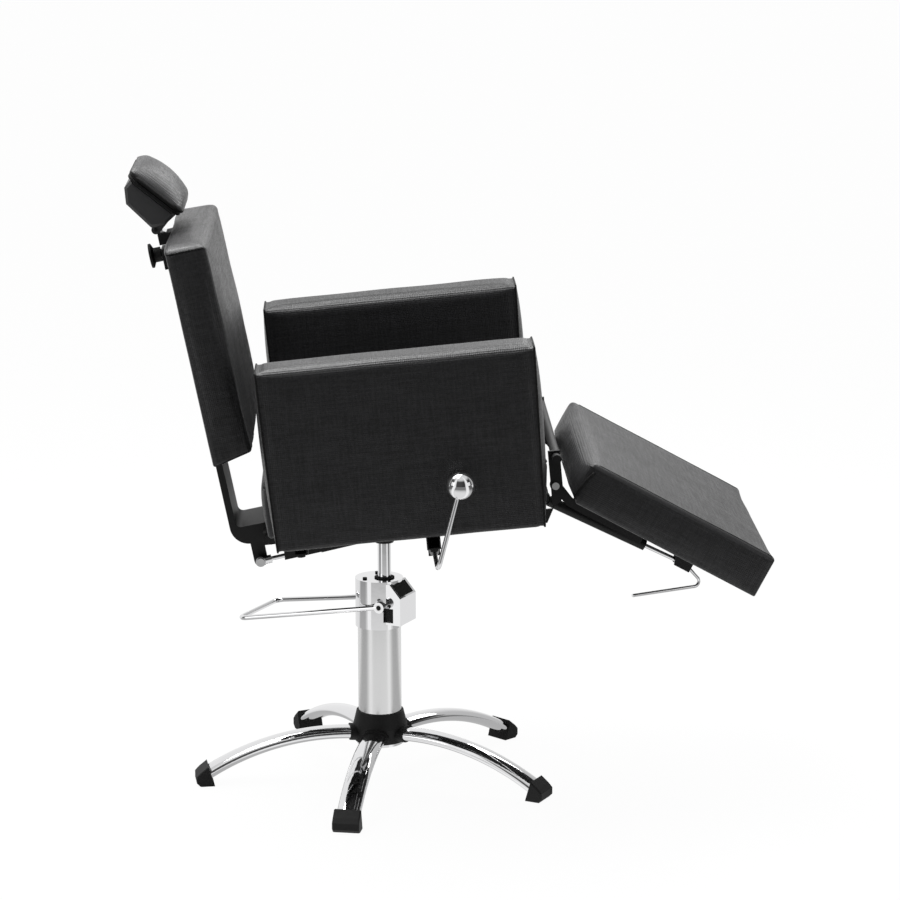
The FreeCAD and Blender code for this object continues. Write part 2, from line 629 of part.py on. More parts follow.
def make_head():
    """Make the chromed pump head, its window, slot and screws."""
    body = turned_body("HeadBody")
    prism(body, "XY_Plane", COLUMN_TOP, HEAD_TOP, [(0, 0, D.head_radius)], "Drum")
    foot = D.axle_height - D.housing_drop
    roof = D.axle_height + D.housing_rise
    face_top = D.axle_height + D.housing_face_rise
    outline = [(0, foot), (D.housing_reach, foot), (D.housing_reach, face_top), (D.housing_shoulder, roof),
               (0, roof)]
    half = D.housing_half_width
    prism(body, "XZ_Plane", -half, half, [outline], "Housing")
    ram_here = (D.ram_offset, 0, D.ram_radius + D.running_gap)
    cut(body, "XY_Plane", COLUMN_TOP - D.overrun, HEAD_TOP + D.overrun, [ram_here], "RamBore")
    seal_here = (D.ram_offset, 0, D.wiper_radius)
    cut(body, "XY_Plane", HEAD_TOP - D.wiper_sink, HEAD_TOP + D.overrun, [seal_here], "SealSeat")
    slope = [(D.housing_shoulder, roof), (D.housing_reach, face_top)]
    rise = slope[0][1] - slope[1][1]
    run = slope[1][0] - slope[0][0]
    length = Size("sqrt(%s ^ 2 + %s ^ 2)" % (rise.text, run.text),
                  math.hypot(rise.value, run.value))
    along = (run / length, -rise / length)
    inward = (-rise / length, -run / length)
    near = D.window_margin / 2
    corner_a = (slope[0][0] + along[0] * near, slope[0][1] + along[1] * near)
    corner_b = (slope[1][0] - along[0] * near, slope[1][1] - along[1] * near)
    deep = D.window_depth
    quad = [corner_a, corner_b, (corner_b[0] + inward[0] * deep, corner_b[1] + inward[1] * deep),
            (corner_a[0] + inward[0] * deep, corner_a[1] + inward[1] * deep)]
    proud = D.overrun
    outer_quad = [(corner_a[0] - inward[0] * proud, corner_a[1] - inward[1] * proud),
                  (corner_b[0] - inward[0] * proud, corner_b[1] - inward[1] * proud), quad[2], quad[3]]
    window_half = half - D.window_margin
    cut(body, "XZ_Plane", -window_half, window_half, [outer_quad], "WindowSeat")
    slot = rectangle(D.slot_inner, D.axle_height - D.slot_drop, D.slot_outer,
                     D.axle_height - D.slot_upper_drop)
    cut(body, "XZ_Plane", -half - D.overrun, -half + D.slot_depth, [slot], "Slot")
    axle_hole = (D.axle_reach, D.axle_height, D.axle_radius + D.running_gap)
    cut(body, "XZ_Plane", -D.axle_half_length, D.axle_half_length, [axle_hole], "AxleBore")
    node(body, "pump_head")
    window = turned_body("WindowBody")
    prism(window, "XZ_Plane", -window_half, window_half, [quad], "Window")
    node(window, "head_window")
    screws = []
    for side in (-1, 1):
        screw = turned_body("ScrewBody%d" % len(screws))
        spot = (-D.screw_back, D.screw_side * side, D.screw_radius)
        prism(screw, "XY_Plane", HEAD_TOP, HEAD_TOP + D.screw_height, [spot], "Screw")
        screws.append(screw)
    group = doc.addObject("Part::Compound", "HeadScrews")
    group.Links = screws
    node(group, "head_screws")


def make_pedal():
    """Make the axle and the U-shaped pedal that is welded to its bosses."""
    axle = turned_body("AxleBody")
    disc = (D.axle_reach, D.axle_height, D.axle_radius)
    prism(axle, "XZ_Plane", -D.axle_half_length, D.axle_half_length, [disc], "Axle")
    relief = rectangle(D.axle_reach - D.axle_radius * 2, D.axle_height - D.axle_radius * 2,
                       D.axle_reach + D.axle_flat, D.axle_height + D.axle_radius * 2)
    flat_half = D.axle_flat_half_length
    cut(axle, "XZ_Plane", -flat_half, flat_half, [relief], "Flat")
    node(axle, "pedal_axle")
    reach = D.axle_reach.value
    level = D.axle_height.value
    boss_out = D.axle_half_length.value
    boss_in = boss_out - D.boss_length.value
    half = D.pedal_half_width.value
    rod = D.pedal_rod_radius.value
    far = reach - D.pedal_reach.value
    low = level - D.pedal_drop.value
    start_side = boss_out - D.boss_length.value / 2
    points = [Vector(reach, -start_side, level), Vector(far, -half, low), Vector(far, half, low),
              Vector(reach, start_side, level)]
    shape = bent_rod(points, rod, D.pedal_bend.value)
    for side in (-1, 1):
        inner = boss_in if side > 0 else -boss_out
        start = Vector(reach, inner, level)
        boss = Part.makeCylinder(D.boss_radius.value, D.boss_length.value, start, Vector(0, 1, 0))
        shape = shape.fuse(boss)
    for side in (-1, 1):
        bore_low = boss_in if side > 0 else -boss_out
        bore = Part.makeCylinder(D.axle_radius.value, D.boss_length.value, Vector(reach, bore_low, level),
                                 Vector(0, 1, 0))
        shape = shape.cut(bore)
    turn = Placement(Vector(), Rotation(Vector(0, 0, -1), D.pump_turn.value))
    item = made_shape("FootPedal", shape.removeSplitter())
    item.Placement = turn
    node(item, "foot_pedal")


# seat frame

CROSS_TOP = D.board_bottom
CROSS_BOTTOM = D.board_bottom - D.cross_rail_height
LONG_BOTTOM = CROSS_BOTTOM - D.long_rail_height


def make_rails():
    """Make the two long rails, the three cross rails and the ram socket's plate."""
    wide = D.rail_width / 2
    tall = D.long_rail_height / 2
    for side, label in ((-1, "frame_rail_right"), (1, "frame_rail_left")):
        body = new_body(label, SEAT)
        middle = D.rail_offset * side
        pin = (D.recline_place, D.recline_pivot_height, D.recline_pin_radius)
        shaft = (D.lever_place, D.lever_height, D.lever_shaft_radius + D.running_gap)
        outline = rectangle(D.rail_rear, LONG_BOTTOM, D.rail_front, CROSS_BOTTOM)
        prism(body, "XZ_Plane", middle - wide, middle + wide, [outline, pin, shaft], "Rail")
        wall = D.tube_wall
        hollow = rectangle(D.rail_rear + tall * 2 + wall, LONG_BOTTOM + wall, D.lever_place - tall,
                           CROSS_BOTTOM - wall)
        cut(body, "XZ_Plane", middle - wide + wall, middle + wide - wall, [hollow], "Hollow")
        node(body, label)
    half = D.cross_rail_width / 2
    crosses = ((D.rear_cross_place, D.rear_cross_half_length, "cross_rail_rear"),
               (D.middle_cross_place, D.cross_half_length, "cross_rail_middle"),
               (D.front_cross_place, D.front_cross_half_length, "cross_rail_front"))
    for place, reach, label in crosses:
        box_tube(label, SEAT, place - half, place + half, -reach, reach, CROSS_BOTTOM, CROSS_TOP,
                 "XZ_Plane")
    plate = new_body("MountPlate", SEAT)
    plate_top = LONG_BOTTOM
    prism(plate, "XZ_Plane", -D.mount_half_width, D.mount_half_width,
          [rectangle(-D.mount_half_length, plate_top - D.mount_thickness, D.mount_half_length, plate_top)],
          "Plate")
    notch = rectangle(D.notch_rear, plate_top - D.mount_thickness - D.overrun,
                      D.mount_half_length + D.overrun, plate_top + D.overrun)
    cut(plate, "XZ_Plane", -D.spring_side - D.notch_half_width, -D.spring_side + D.notch_half_width,
        [notch], "SpringNotch")
    socket = cylinder("Socket", D.socket_radius, D.socket_bottom, D.socket_top, RAM_X, RAM_Y)
    bore = cylinder("SocketBore", D.ram_radius + D.running_gap, D.socket_bottom - D.overrun, D.ram_top
                    + D.soft_gap, RAM_X, RAM_Y)
    node(subtract("Mount", join("MountWhole", [plate, socket]), [bore]), "seat_mount")


def make_seat():
    """Make the seat board, the seat cushion and the two arms with their bolts."""
    board_top = D.board_bottom + D.board_thickness
    slab("seat_board", SEAT, D.board_rear, D.board_front, -D.board_half_width, D.board_half_width,
         D.board_bottom, board_top)
    slab("seat_cushion", SEAT, D.cushion_rear, D.cushion_front, -D.cushion_half_width,
         D.cushion_half_width, board_top, board_top + D.cushion_thickness, D.cushion_corner)
    for side, label in ((-1, "arm_right"), (1, "arm_left")):
        low, high = side_span(side, D.arm_inner, D.arm_inner + D.arm_thickness)
        slab(label, SEAT, D.arm_rear, D.arm_front, low, high, D.board_bottom, D.arm_top, D.arm_corner)
    make_arm_bolts()


def side_span(side, inner, outer):
    """Return the low and high Y of a piece that lies on one side."""
    if side > 0:
        return inner, outer
    return -outer, -inner


def make_arm_bolts():
    """Make the four hexagon heads that hold the arms to the cross rails from below."""
    heads = []
    for place, across in ((D.rear_cross_place, D.rear_bolt_place), (D.middle_cross_place, D.bolt_place)):
        for side in (-1, 1):
            body = new_body("BoltBody%d" % len(heads), SEAT)
            middle = across * side
            prism(body, "XY_Plane", CROSS_BOTTOM - D.bolt_head_height, CROSS_BOTTOM,
                  [(place, middle, D.bolt_head_radius)], "Head")
            heads.append(body)
    group = doc.addObject("Part::Compound", "ArmBolts")
    group.Links = heads
    node(group, "arm_bolts")


def make_leg_mounts():
    """Make the uprights, the front tube, and the strut's ears on the front rail."""
    for side, label in ((-1, "leg_upright_right"), (1, "leg_upright_left")):
        low, high = side_span(side, D.front_cross_half_length,
                              D.front_cross_half_length + D.upright_thickness)
        outline = [(D.upright_foot_rear, CROSS_BOTTOM), (D.upright_foot_front, CROSS_BOTTOM),
                   (D.upright_heel_place, D.upright_heel_height),
                   (D.upright_toe_place, D.upright_toe_height), (D.upright_front, D.upright_chin),
                   (D.upright_front, D.upright_top), (D.upright_rear, D.upright_top),
                   (D.upright_rear, CROSS_TOP - D.soft_gap), (D.upright_foot_rear, CROSS_TOP - D.soft_gap)]
        tube = (D.front_tube_place, D.front_tube_height, D.front_tube_radius)
        pin = (D.leg_pivot_place, D.leg_pivot_height, D.leg_pin_radius)
        body = new_body(label, SEAT)
        prism(body, "XZ_Plane", low, high, [outline, pin], "Upright")
        cut(body, "XZ_Plane", low - D.overrun, high + D.overrun, [tube], "TubeSeat")
        node(body, label)
    tube_body = new_body("FrontTube", SEAT)
    prism(tube_body, "XZ_Plane", -D.front_tube_half_length, D.front_tube_half_length,
          [(D.front_tube_place, D.front_tube_height, D.front_tube_radius)], "Tube")
    node(tube_body, "front_tube")
    rear = D.front_cross_place + D.cross_rail_width / 2
    middle = -D.strut_side
    bracket = new_body("StrutEars", SEAT)
    inner = D.ear_half_gap
    outer = D.ear_half_gap + D.ear_thickness
    cheek = D.ear_cheek
    outline = [(rear, D.strut_seat_height - cheek), (D.strut_seat_place + cheek / 3,
                                                     D.strut_seat_height - cheek),
               (D.strut_seat_place + cheek, D.strut_seat_height - cheek / 3),
               (D.strut_seat_place + cheek, CROSS_TOP - D.overrun), (rear, CROSS_TOP - D.overrun)]
    prism(bracket, "XZ_Plane", middle - outer, middle + outer, [outline], "Ears")
    gap_rear = rear + D.tube_wall
    gap = rectangle(gap_rear, D.strut_seat_height - D.ear_cheek - D.overrun,
                    D.strut_seat_place + D.ear_cheek + D.overrun, CROSS_TOP)
    cut(bracket, "XZ_Plane", middle - inner, middle + inner, [gap], "Gap")
    pin = (D.strut_seat_place, D.strut_seat_height, D.pivot_pin_radius)
    cut(bracket, "XZ_Plane", middle - outer - D.overrun, middle + outer + D.overrun, [pin], "PinBore")
    node(bracket, "strut_bracket")


def make_pins():
    """Make the recline pin, the two leg rest pins and the two spring pins."""
    body = new_body("ReclinePin", SEAT)
    reach = D.rail_offset + D.rail_width / 2
    spot = (D.recline_place, D.recline_pivot_height)
    shank = prism(body, "XZ_Plane", -reach, reach, [spot + (D.recline_pin_radius,)], "Shank")
    for side in (-1, 1):
        low, high = side_span(side, reach, reach + D.recline_pin_head)
        prism(body, "XZ_Plane", low, high, [spot + (D.recline_pin_head_radius,)], "PinHead")
    node(body, "recline_pin")
    pins = []
    for side in (-1, 1):
        outer = D.front_cross_half_length + D.upright_thickness
        inner = D.front_cross_half_length - D.rest_plate_gap - D.rest_plate_thickness
        body = new_body("LegPin%d" % len(pins), SEAT)
        spot = (D.leg_pivot_place, D.leg_pivot_height)
        low, high = side_span(side, inner, outer)
        prism(body, "XZ_Plane", low, high, [spot + (D.leg_pin_radius,)], "Shank")
        low, high = side_span(side, outer, outer + D.leg_pin_head)
        prism(body, "XZ_Plane", low, high, [spot + (D.leg_pin_head_radius,)], "PinHead")
        pins.append(body)
    group = doc.addObject("Part::Compound", "LegPins")
    group.Links = pins
    node(group, "leg_rest_pins")
    spring_pins = []
    reaches = ((D.strut_seat_place, D.strut_seat_height, D.strut_side, D.ear_half_gap + D.ear_thickness),
               (D.spring_seat_place, D.spring_seat_height, D.spring_side,
                D.channel_half_width))
    for x, z, middle, half in reaches:
        body = new_body("SpringPin%d" % len(spring_pins), SEAT)
        prism(body, "XZ_Plane", -middle - half, -middle + half, [(x, z, D.pivot_pin_radius)], "Pin")
        spring_pins.append(body)
    group = doc.addObject("Part::Compound", "SpringPins")
    group.Links = spring_pins
    node(group, "spring_pins")


def make_channel():
    """Make the steel channel that covers the recline spring's rod, and the spring's front ears."""
    body = new_body("SpringChannel", SEAT)
    half = D.channel_half_width
    middle = -D.spring_side
    drop = (D.channel_front - D.channel_rear) * D.channel_slope_share / 2
    outline = [(D.channel_rear, CROSS_BOTTOM - D.channel_height - drop + D.channel_wall * 2),
               (D.channel_front, CROSS_BOTTOM - D.channel_height + D.channel_wall * 2),
               (D.channel_front, CROSS_BOTTOM), (D.channel_rear, CROSS_BOTTOM)]
    prism(body, "XZ_Plane", middle - half, middle + half, [outline], "Channel")
    inner = half - D.channel_wall
    hollow = rectangle(D.channel_rear - D.overrun, CROSS_BOTTOM - D.channel_height * 3,
                       D.channel_front + D.overrun, CROSS_BOTTOM - D.channel_wall)
    cut(body, "XZ_Plane", middle - inner, middle + inner, [hollow], "Hollow")
    clear = rectangle(D.channel_rear - D.overrun, CROSS_BOTTOM - D.channel_height * 3,
                      D.channel_far_rear, CROSS_BOTTOM - D.channel_wall)
    cut(body, "XZ_Plane", middle + inner - D.overrun, middle + half + D.overrun, [clear], "LugRoom")
    node(body, "spring_channel")
    ears = new_body("SpringEars", SEAT)
    outline = rectangle(D.spring_seat_place - D.ear_half_height, D.spring_seat_height - D.ear_cheek,
                        D.spring_seat_place + D.ear_half_height, CROSS_BOTTOM)
    prism(ears, "XZ_Plane", middle - half, middle + half, [outline], "Ears")
    shaft = (D.lever_place, D.lever_height, D.lever_shaft_radius + D.running_gap)
    gap = rectangle(D.spring_seat_place - D.ear_half_height - D.overrun,
                    D.spring_seat_height - D.ear_cheek - D.overrun,
                    D.spring_seat_place + D.ear_half_height + D.overrun, CROSS_BOTTOM - D.channel_wall)
    cut(ears, "XZ_Plane", middle - inner, middle + inner, [gap], "Gap")
    pin = (D.spring_seat_place, D.spring_seat_height, D.pivot_pin_radius)
    cut(ears, "XZ_Plane", middle - half - D.overrun, middle + half + D.overrun, [pin, shaft], "PinBore")
    node(ears, "spring_ears")


def make_lever():
    """Make the lever's hanging bracket, its bent bar and the ball."""
    body = new_body("LeverBracket", SEAT)
    half = D.lever_bracket_width / 2
    low = -D.lever_bracket_place
    outline = rectangle(D.lever_place - half, D.lever_height - D.lever_bracket_drop,
                        D.lever_place + half, CROSS_BOTTOM)
    shaft = (D.lever_place, D.lever_height, D.lever_shaft_radius + D.running_gap)
    prism(body, "XZ_Plane", low, low + D.upright_thickness, [outline, shaft], "Bracket")
    node(body, "lever_bracket")
    x = D.lever_place.value
    z = D.lever_height.value
    outer = -(D.lever_bracket_place + D.lever_boss_gap + D.lever_boss_length).value
    side = outer - D.lever_rod_outset.value
    start = Vector(x, -D.lever_shaft_inner.value, z)
    low = Vector(x + D.lever_low_ahead.value, side, z - D.lever_low_drop.value)
    ball = Vector(x + D.lever_ball_ahead.value, side, z + D.lever_ball_above.value)
    boss_end = Vector(x, outer + D.lever_boss_length.value / 2, z)
    up = (ball - low).normalize()
    top = ball - up * (D.lever_ball_radius.value - D.lever_rod_sink.value)
    shape = Part.makeCylinder(D.lever_shaft_radius.value, start.y - outer, Vector(x, outer, z),
                              Vector(0, 1, 0))
    boss = Part.makeCylinder(D.lever_boss_radius.value, D.lever_boss_length.value, Vector(x, outer, z),
                             Vector(0, 1, 0))
    rod = bent_rod([boss_end, low, top], D.lever_rod_radius.value, D.lever_bend.value)
    node(made_shape("LeverBar", shape.fuse(boss).fuse(rod).removeSplitter(), SEAT), "lever_bar")
    knob = Part.makeSphere(D.lever_ball_radius.value, ball)
    knob = knob.cut(bent_rod([low, top], D.lever_rod_radius.value, D.lever_bend.value))
    node(made_shape("LeverBall", knob, SEAT), "lever_ball")


# leg rest

def rest_local(ahead, above):
    """Return where a place given from the leg rest's pivot lies in the leg rest's own slope."""
    dx = as_size(ahead) - D.rest_corner_ahead
    dz = as_size(above) - D.rest_corner_above
    cos = cosine(D.rest_tilt)
    sin = sine(D.rest_tilt)
    return dx * cos - dz * sin, dx * sin + dz * cos


def make_rest():
    """Make the leg rest's board, cushion and pivoting frame."""
    half = D.rest_half_width
    board_top = -D.rest_cushion_thickness
    board_bottom = board_top - D.rest_board_thickness
    inset = D.rest_board_inset
    slab("rest_board", REST, inset, D.rest_length - inset, -half + inset, half - inset, board_bottom,
         board_top)
    slab("rest_cushion", REST, 0, D.rest_length, -half, half, board_top, 0, D.rest_corner)
    make_rest_frame(board_bottom)
    make_release(board_bottom)


def make_rest_frame(board_bottom):
    """Make the two pivot plates, joined by a flat bar, as one welded frame."""
    pivot = rest_local(0, 0)
    body = new_body("RestFrame", REST)
    outer = D.front_cross_half_length - D.rest_plate_gap
    inner = outer - D.rest_plate_thickness
    knuckle = D.rest_knuckle_radius
    flange = D.rest_plate_flange
    outline = [(pivot[0], pivot[1] + knuckle), (D.rest_board_inset, board_bottom),
               (D.rest_plate_length, board_bottom), (D.rest_plate_length, board_bottom - flange),
               (D.rest_board_inset, board_bottom - flange), (pivot[0], pivot[1] - knuckle)]
    bar_rear = D.rest_bar_place
    bar = rectangle(bar_rear, board_bottom - D.rest_bar_height, bar_rear + D.rest_bar_width, board_bottom)
    for side in (-1, 1):
        low, high = side_span(side, inner, outer)
        prism(body, "XZ_Plane", low, high, [outline], "Plate")
    prism(body, "XZ_Plane", -inner, inner, [bar], "Bar")
    for side in (-1, 1):
        low, high = side_span(side, inner, outer)
        prism(body, "XZ_Plane", low, high, [(pivot[0], pivot[1], knuckle)], "Knuckle")
    hole = (pivot[0], pivot[1], D.leg_pin_radius + D.running_gap)
    cut(body, "XZ_Plane", -outer - D.overrun, outer + D.overrun, [hole], "PivotBore")
    node(body, "rest_frame")


def make_release(board_bottom):
    """Make the strut's release head under the leg rest, and the wire lever."""
    end = rest_local(D.strut_end_ahead, -D.strut_end_below)
    middle = -D.strut_side
    half = D.release_half_gap + D.release_wall
    body = new_body("ReleaseHead", REST)
    outline = [(end[0] - D.release_half_length, end[1] - D.release_eye_radius),
               (end[0] + D.release_half_length, end[1] - D.release_eye_radius),
               (end[0] + D.release_half_length, board_bottom), (end[0] - D.release_half_length * 2,
                                                                 board_bottom)]
    prism(body, "XZ_Plane", middle - half, middle + half, [outline], "Head")
    gap = rectangle(end[0] - D.release_half_length * 3, end[1] - D.release_height,
                    end[0] + D.release_half_length - D.release_wall, board_bottom - D.release_wall)
    inner = D.release_half_gap
    cut(body, "XZ_Plane", middle - inner, middle + inner, [gap], "Gap")
    prism(body, "XZ_Plane", middle - half, middle + half + D.wire_lug_gap * 2 + D.wire_eye_thickness,
          [(end[0], end[1], D.pivot_pin_radius)], "Pin")
    node(body, "release_head")
    make_wire(end, (middle + half + D.wire_lug_gap + D.wire_eye_thickness / 2).value)


def make_wire(end, side):
    """Make the wire lever that opens the strut's valve, hinged beside the release head."""
    low_x, low_z = rest_local(D.strut_end_ahead + D.wire_ahead, -D.strut_end_below - D.wire_below)
    tip_x, tip_z = rest_local(D.strut_end_ahead + D.wire_ahead - D.wire_back,
                              -D.strut_end_below - D.wire_below)
    start = Vector(end[0].value, side, end[1].value)
    low = Vector(low_x.value, side + D.wire_outset.value, low_z.value)
    tip = Vector(tip_x.value, -D.wire_half_width.value, tip_z.value)
    wire = bent_rod([start, low, tip], D.wire_radius.value, D.wire_bend.value)
    across = Vector(0, 1, 0)
    eye_start = start - across * (D.wire_eye_thickness.value / 2)
    eye = Part.makeCylinder(D.release_eye_radius.value, D.wire_eye_thickness.value, eye_start, across)
    hole = Part.makeCylinder(D.pivot_pin_radius.value + D.running_gap.value, D.wire_eye_thickness.value * 2,
                             eye_start - across * (D.wire_eye_thickness.value / 2), across)
    node(made_shape("ReleaseWire", wire.fuse(eye).cut(hole).removeSplitter(), REST), "release_wire")


# gas springs

def strut_line(start, finish):
    """Return the length and the unit direction from one X-Z place to another."""
    dx = finish[0].value - start[0].value
    dz = finish[1].value - start[1].value
    length = math.hypot(dx, dz)
    return length, Vector(dx / length, 0, dz / length)


def gas_strut(rod_label, tube_label, start, finish, middle, sizes):
    """Make a gas strut from the place that it carries to its eye on the seat frame."""
    length, along = strut_line(start, finish)
    across = Vector(0, 1, 0)
    here = Vector(start[0].value, middle.value, start[1].value)
    there = Vector(finish[0].value, middle.value, finish[1].value)
    eye_outer = D.eye_bore.value + D.eye_wall.value
    tube_front = there - along * (eye_outer - D.eye_wall.value / 2)
    tube_rear = tube_front - along * sizes.tube_length.value
    rod_tip = tube_rear + along * sizes.rod_sink.value
    tube = Part.makeCylinder(sizes.tube_radius.value, sizes.tube_length.value, tube_rear, along)
    room = sizes.rod_sink.value + sizes.stroke.value
    bore = Part.makeCylinder(sizes.rod_radius.value + D.running_gap.value, room, tube_rear, along)
    tube = tube.cut(bore)
    half_eye = D.eye_thickness.value / 2
    eye = Part.makeCylinder(eye_outer, D.eye_thickness.value, there - across * half_eye, across)
    hole = Part.makeCylinder(D.eye_bore.value, sizes.tube_radius.value * 4,
                             there - across * sizes.tube_radius.value * 2, across)
    tube = tube.fuse(eye).cut(hole)
    node(made_shape(tube_label, tube.removeSplitter()), tube_label)
    head = sizes.head(here, along, across)
    rod = Part.makeCylinder(sizes.rod_radius.value, (rod_tip - here).Length - sizes.rod_start.value,
                            here + along * sizes.rod_start.value, along)
    node(made_shape(rod_label, head.fuse(rod).removeSplitter()), rod_label)


def eye_head(here, along, across):
    """Return the strut's rod eye, which turns on the release head's pin."""
    thick = D.release_half_gap.value * 2 - D.soft_gap.value * 2
    start = here - across * (thick / 2)
    outer = Part.makeCylinder(D.release_eye_radius.value - D.soft_gap.value, thick, start, across)
    hole = Part.makeCylinder(D.pivot_pin_radius.value + D.running_gap.value, thick, start, across)
    return outer.cut(hole)


def ball_head(here, along, across):
    """Return the recline rod's socket, which turns on the ball stud."""
    thick = D.socket_neck.value
    start = here - across * (thick / 2)
    outer = Part.makeCylinder(D.socket_outer_radius.value, thick, start, across)
    neck = Part.makeCylinder(D.ball_radius.value, D.socket_length.value, here, along)
    hole = Part.makeCylinder(D.ball_stud_radius.value + D.running_gap.value, thick, start, across)
    return outer.fuse(neck).cut(hole)


def make_struts():
    """Make both gas springs."""
    leg_end = (LEG_PIVOT[0] + D.strut_end_ahead, LEG_PIVOT[1] - D.strut_end_below)
    leg_seat = SEAT.point(D.strut_seat_place, D.strut_seat_height)
    gas_strut("strut_rod", "strut_tube", leg_end, leg_seat, -D.strut_side,
              SimpleNamespace(tube_length=D.strut_cylinder_length, tube_radius=D.strut_radius,
                              rod_radius=D.strut_rod_radius, rod_sink=D.strut_rod_sink,
                              stroke=D.strut_rod_sink, rod_start=D.pivot_pin_radius + D.overrun / 2,
                              head=eye_head))
    back_end = BACK.point(D.spring_pin_place, D.spring_pin_height)
    back_seat = SEAT.point(D.spring_seat_place, D.spring_seat_height)
    gas_strut("spring_rod", "spring_tube", back_end, back_seat, -D.spring_side,
              SimpleNamespace(tube_length=D.spring_cylinder_length, tube_radius=D.spring_radius,
                              rod_radius=D.spring_rod_radius, rod_sink=D.spring_rod_sink,
                              stroke=D.spring_rod_sink, rod_start=D.socket_length / 2, head=ball_head))


# back

def make_back():
    """Make the bent bracket with its lug, the ball stud, the board and the cushion."""
    body = new_body("BackBracket", BACK)
    half = D.bracket_half_width
    front = D.bracket_rear + D.bracket_thickness
    knuckle = D.bracket_knuckle
    bracket_top = BACK_TOP - D.bracket_drop
    outline = [(D.bracket_rear, bracket_top), (D.bracket_rear, D.bracket_shelf_bottom),
               (0, D.bracket_shelf_bottom), (0, D.bracket_shelf_top), (front, D.bracket_shelf_top),
               (front, bracket_top)]
    block = prism(body, "XZ_Plane", -half, half, [outline], "Bent")
    across = Vector(0, 1, 0)
    rear = D.bracket_rear.value
    low = D.bracket_shelf_bottom.value
    outer_bend = soften(body, block, D.bracket_outer_bend, lambda edge: runs_along(edge, across)
                        and math.hypot(edge.CenterOfMass.x - rear, edge.CenterOfMass.z - low)
                        < D.soft_gap.value)
    top = D.bracket_shelf_top.value
    soften(body, outer_bend, D.bracket_inner_bend, lambda edge: runs_along(edge, across)
           and math.hypot(edge.CenterOfMass.x - front.value, edge.CenterOfMass.z - top)
           < D.soft_gap.value)
    prism(body, "XZ_Plane", -half, half, [(0, 0, knuckle)], "Knuckle")
    pocket = rectangle(front + D.bracket_shelf_skin, D.bracket_shelf_bottom - D.overrun,
                       D.bracket_pocket_front, D.bracket_shelf_top - D.bracket_shelf_skin)
    inner = half - D.bracket_flange
    cut(body, "XZ_Plane", -inner, inner, [pocket], "Pocket")
    lug_low = -D.spring_side + D.socket_neck / 2 + D.soft_gap
    lug_radius = D.lug_width / 2
    lug_middle = D.lug_front - lug_radius
    lug = rectangle(D.lug_front - D.lug_width, D.lug_end, D.lug_front,
                    D.bracket_shelf_top - D.bracket_shelf_skin)
    prism(body, "XZ_Plane", lug_low, lug_low + D.lug_thickness, [lug], "Lug")
    prism(body, "XZ_Plane", lug_low, lug_low + D.lug_thickness, [(lug_middle, D.lug_end, lug_radius)],
          "LugEnd")
    hole = (0, 0, D.recline_pin_radius + D.running_gap)
    cut(body, "XZ_Plane", -half - D.overrun, half + D.overrun, [hole], "PivotBore")
    stud_hole = (D.spring_pin_place, D.spring_pin_height, D.ball_stud_radius)
    cut(body, "XZ_Plane", lug_low - D.overrun, lug_low + D.lug_thickness + D.overrun, [stud_hole],
        "StudBore")
    node(body, "back_bracket")
    stud = new_body("BallStud", BACK)
    spot = (D.spring_pin_place, D.spring_pin_height)
    stud_low = -D.spring_side - D.socket_neck / 2 - D.soft_gap
    prism(stud, "XZ_Plane", stud_low, lug_low + D.lug_thickness, [spot + (D.ball_stud_radius,)], "Shank")
    prism(stud, "XZ_Plane", stud_low - D.socket_neck / 3, stud_low, [spot + (D.ball_radius,)], "Button")
    node(stud, "ball_stud")
    board_front = D.back_face - D.back_cushion_thickness
    inset = D.back_board_inset
    wide = D.back_half_width
    slab("back_board", BACK, board_front - D.back_board_thickness, board_front, -wide + inset,
         wide - inset, D.back_bottom + inset, BACK_TOP - inset)
    cushion = new_body("BackCushion", BACK)
    outline = [(board_front, D.back_bottom), (D.back_face, D.back_bottom + D.back_bottom_rise),
               (D.back_face, BACK_TOP), (board_front, BACK_TOP)]
    block = prism(cushion, "XZ_Plane", -wide, wide, [outline], "Cushion")
    soften(cushion, block, D.back_corner, lambda edge: True)
    node(cushion, "back_cushion")
    make_guide(board_front - D.back_board_thickness)


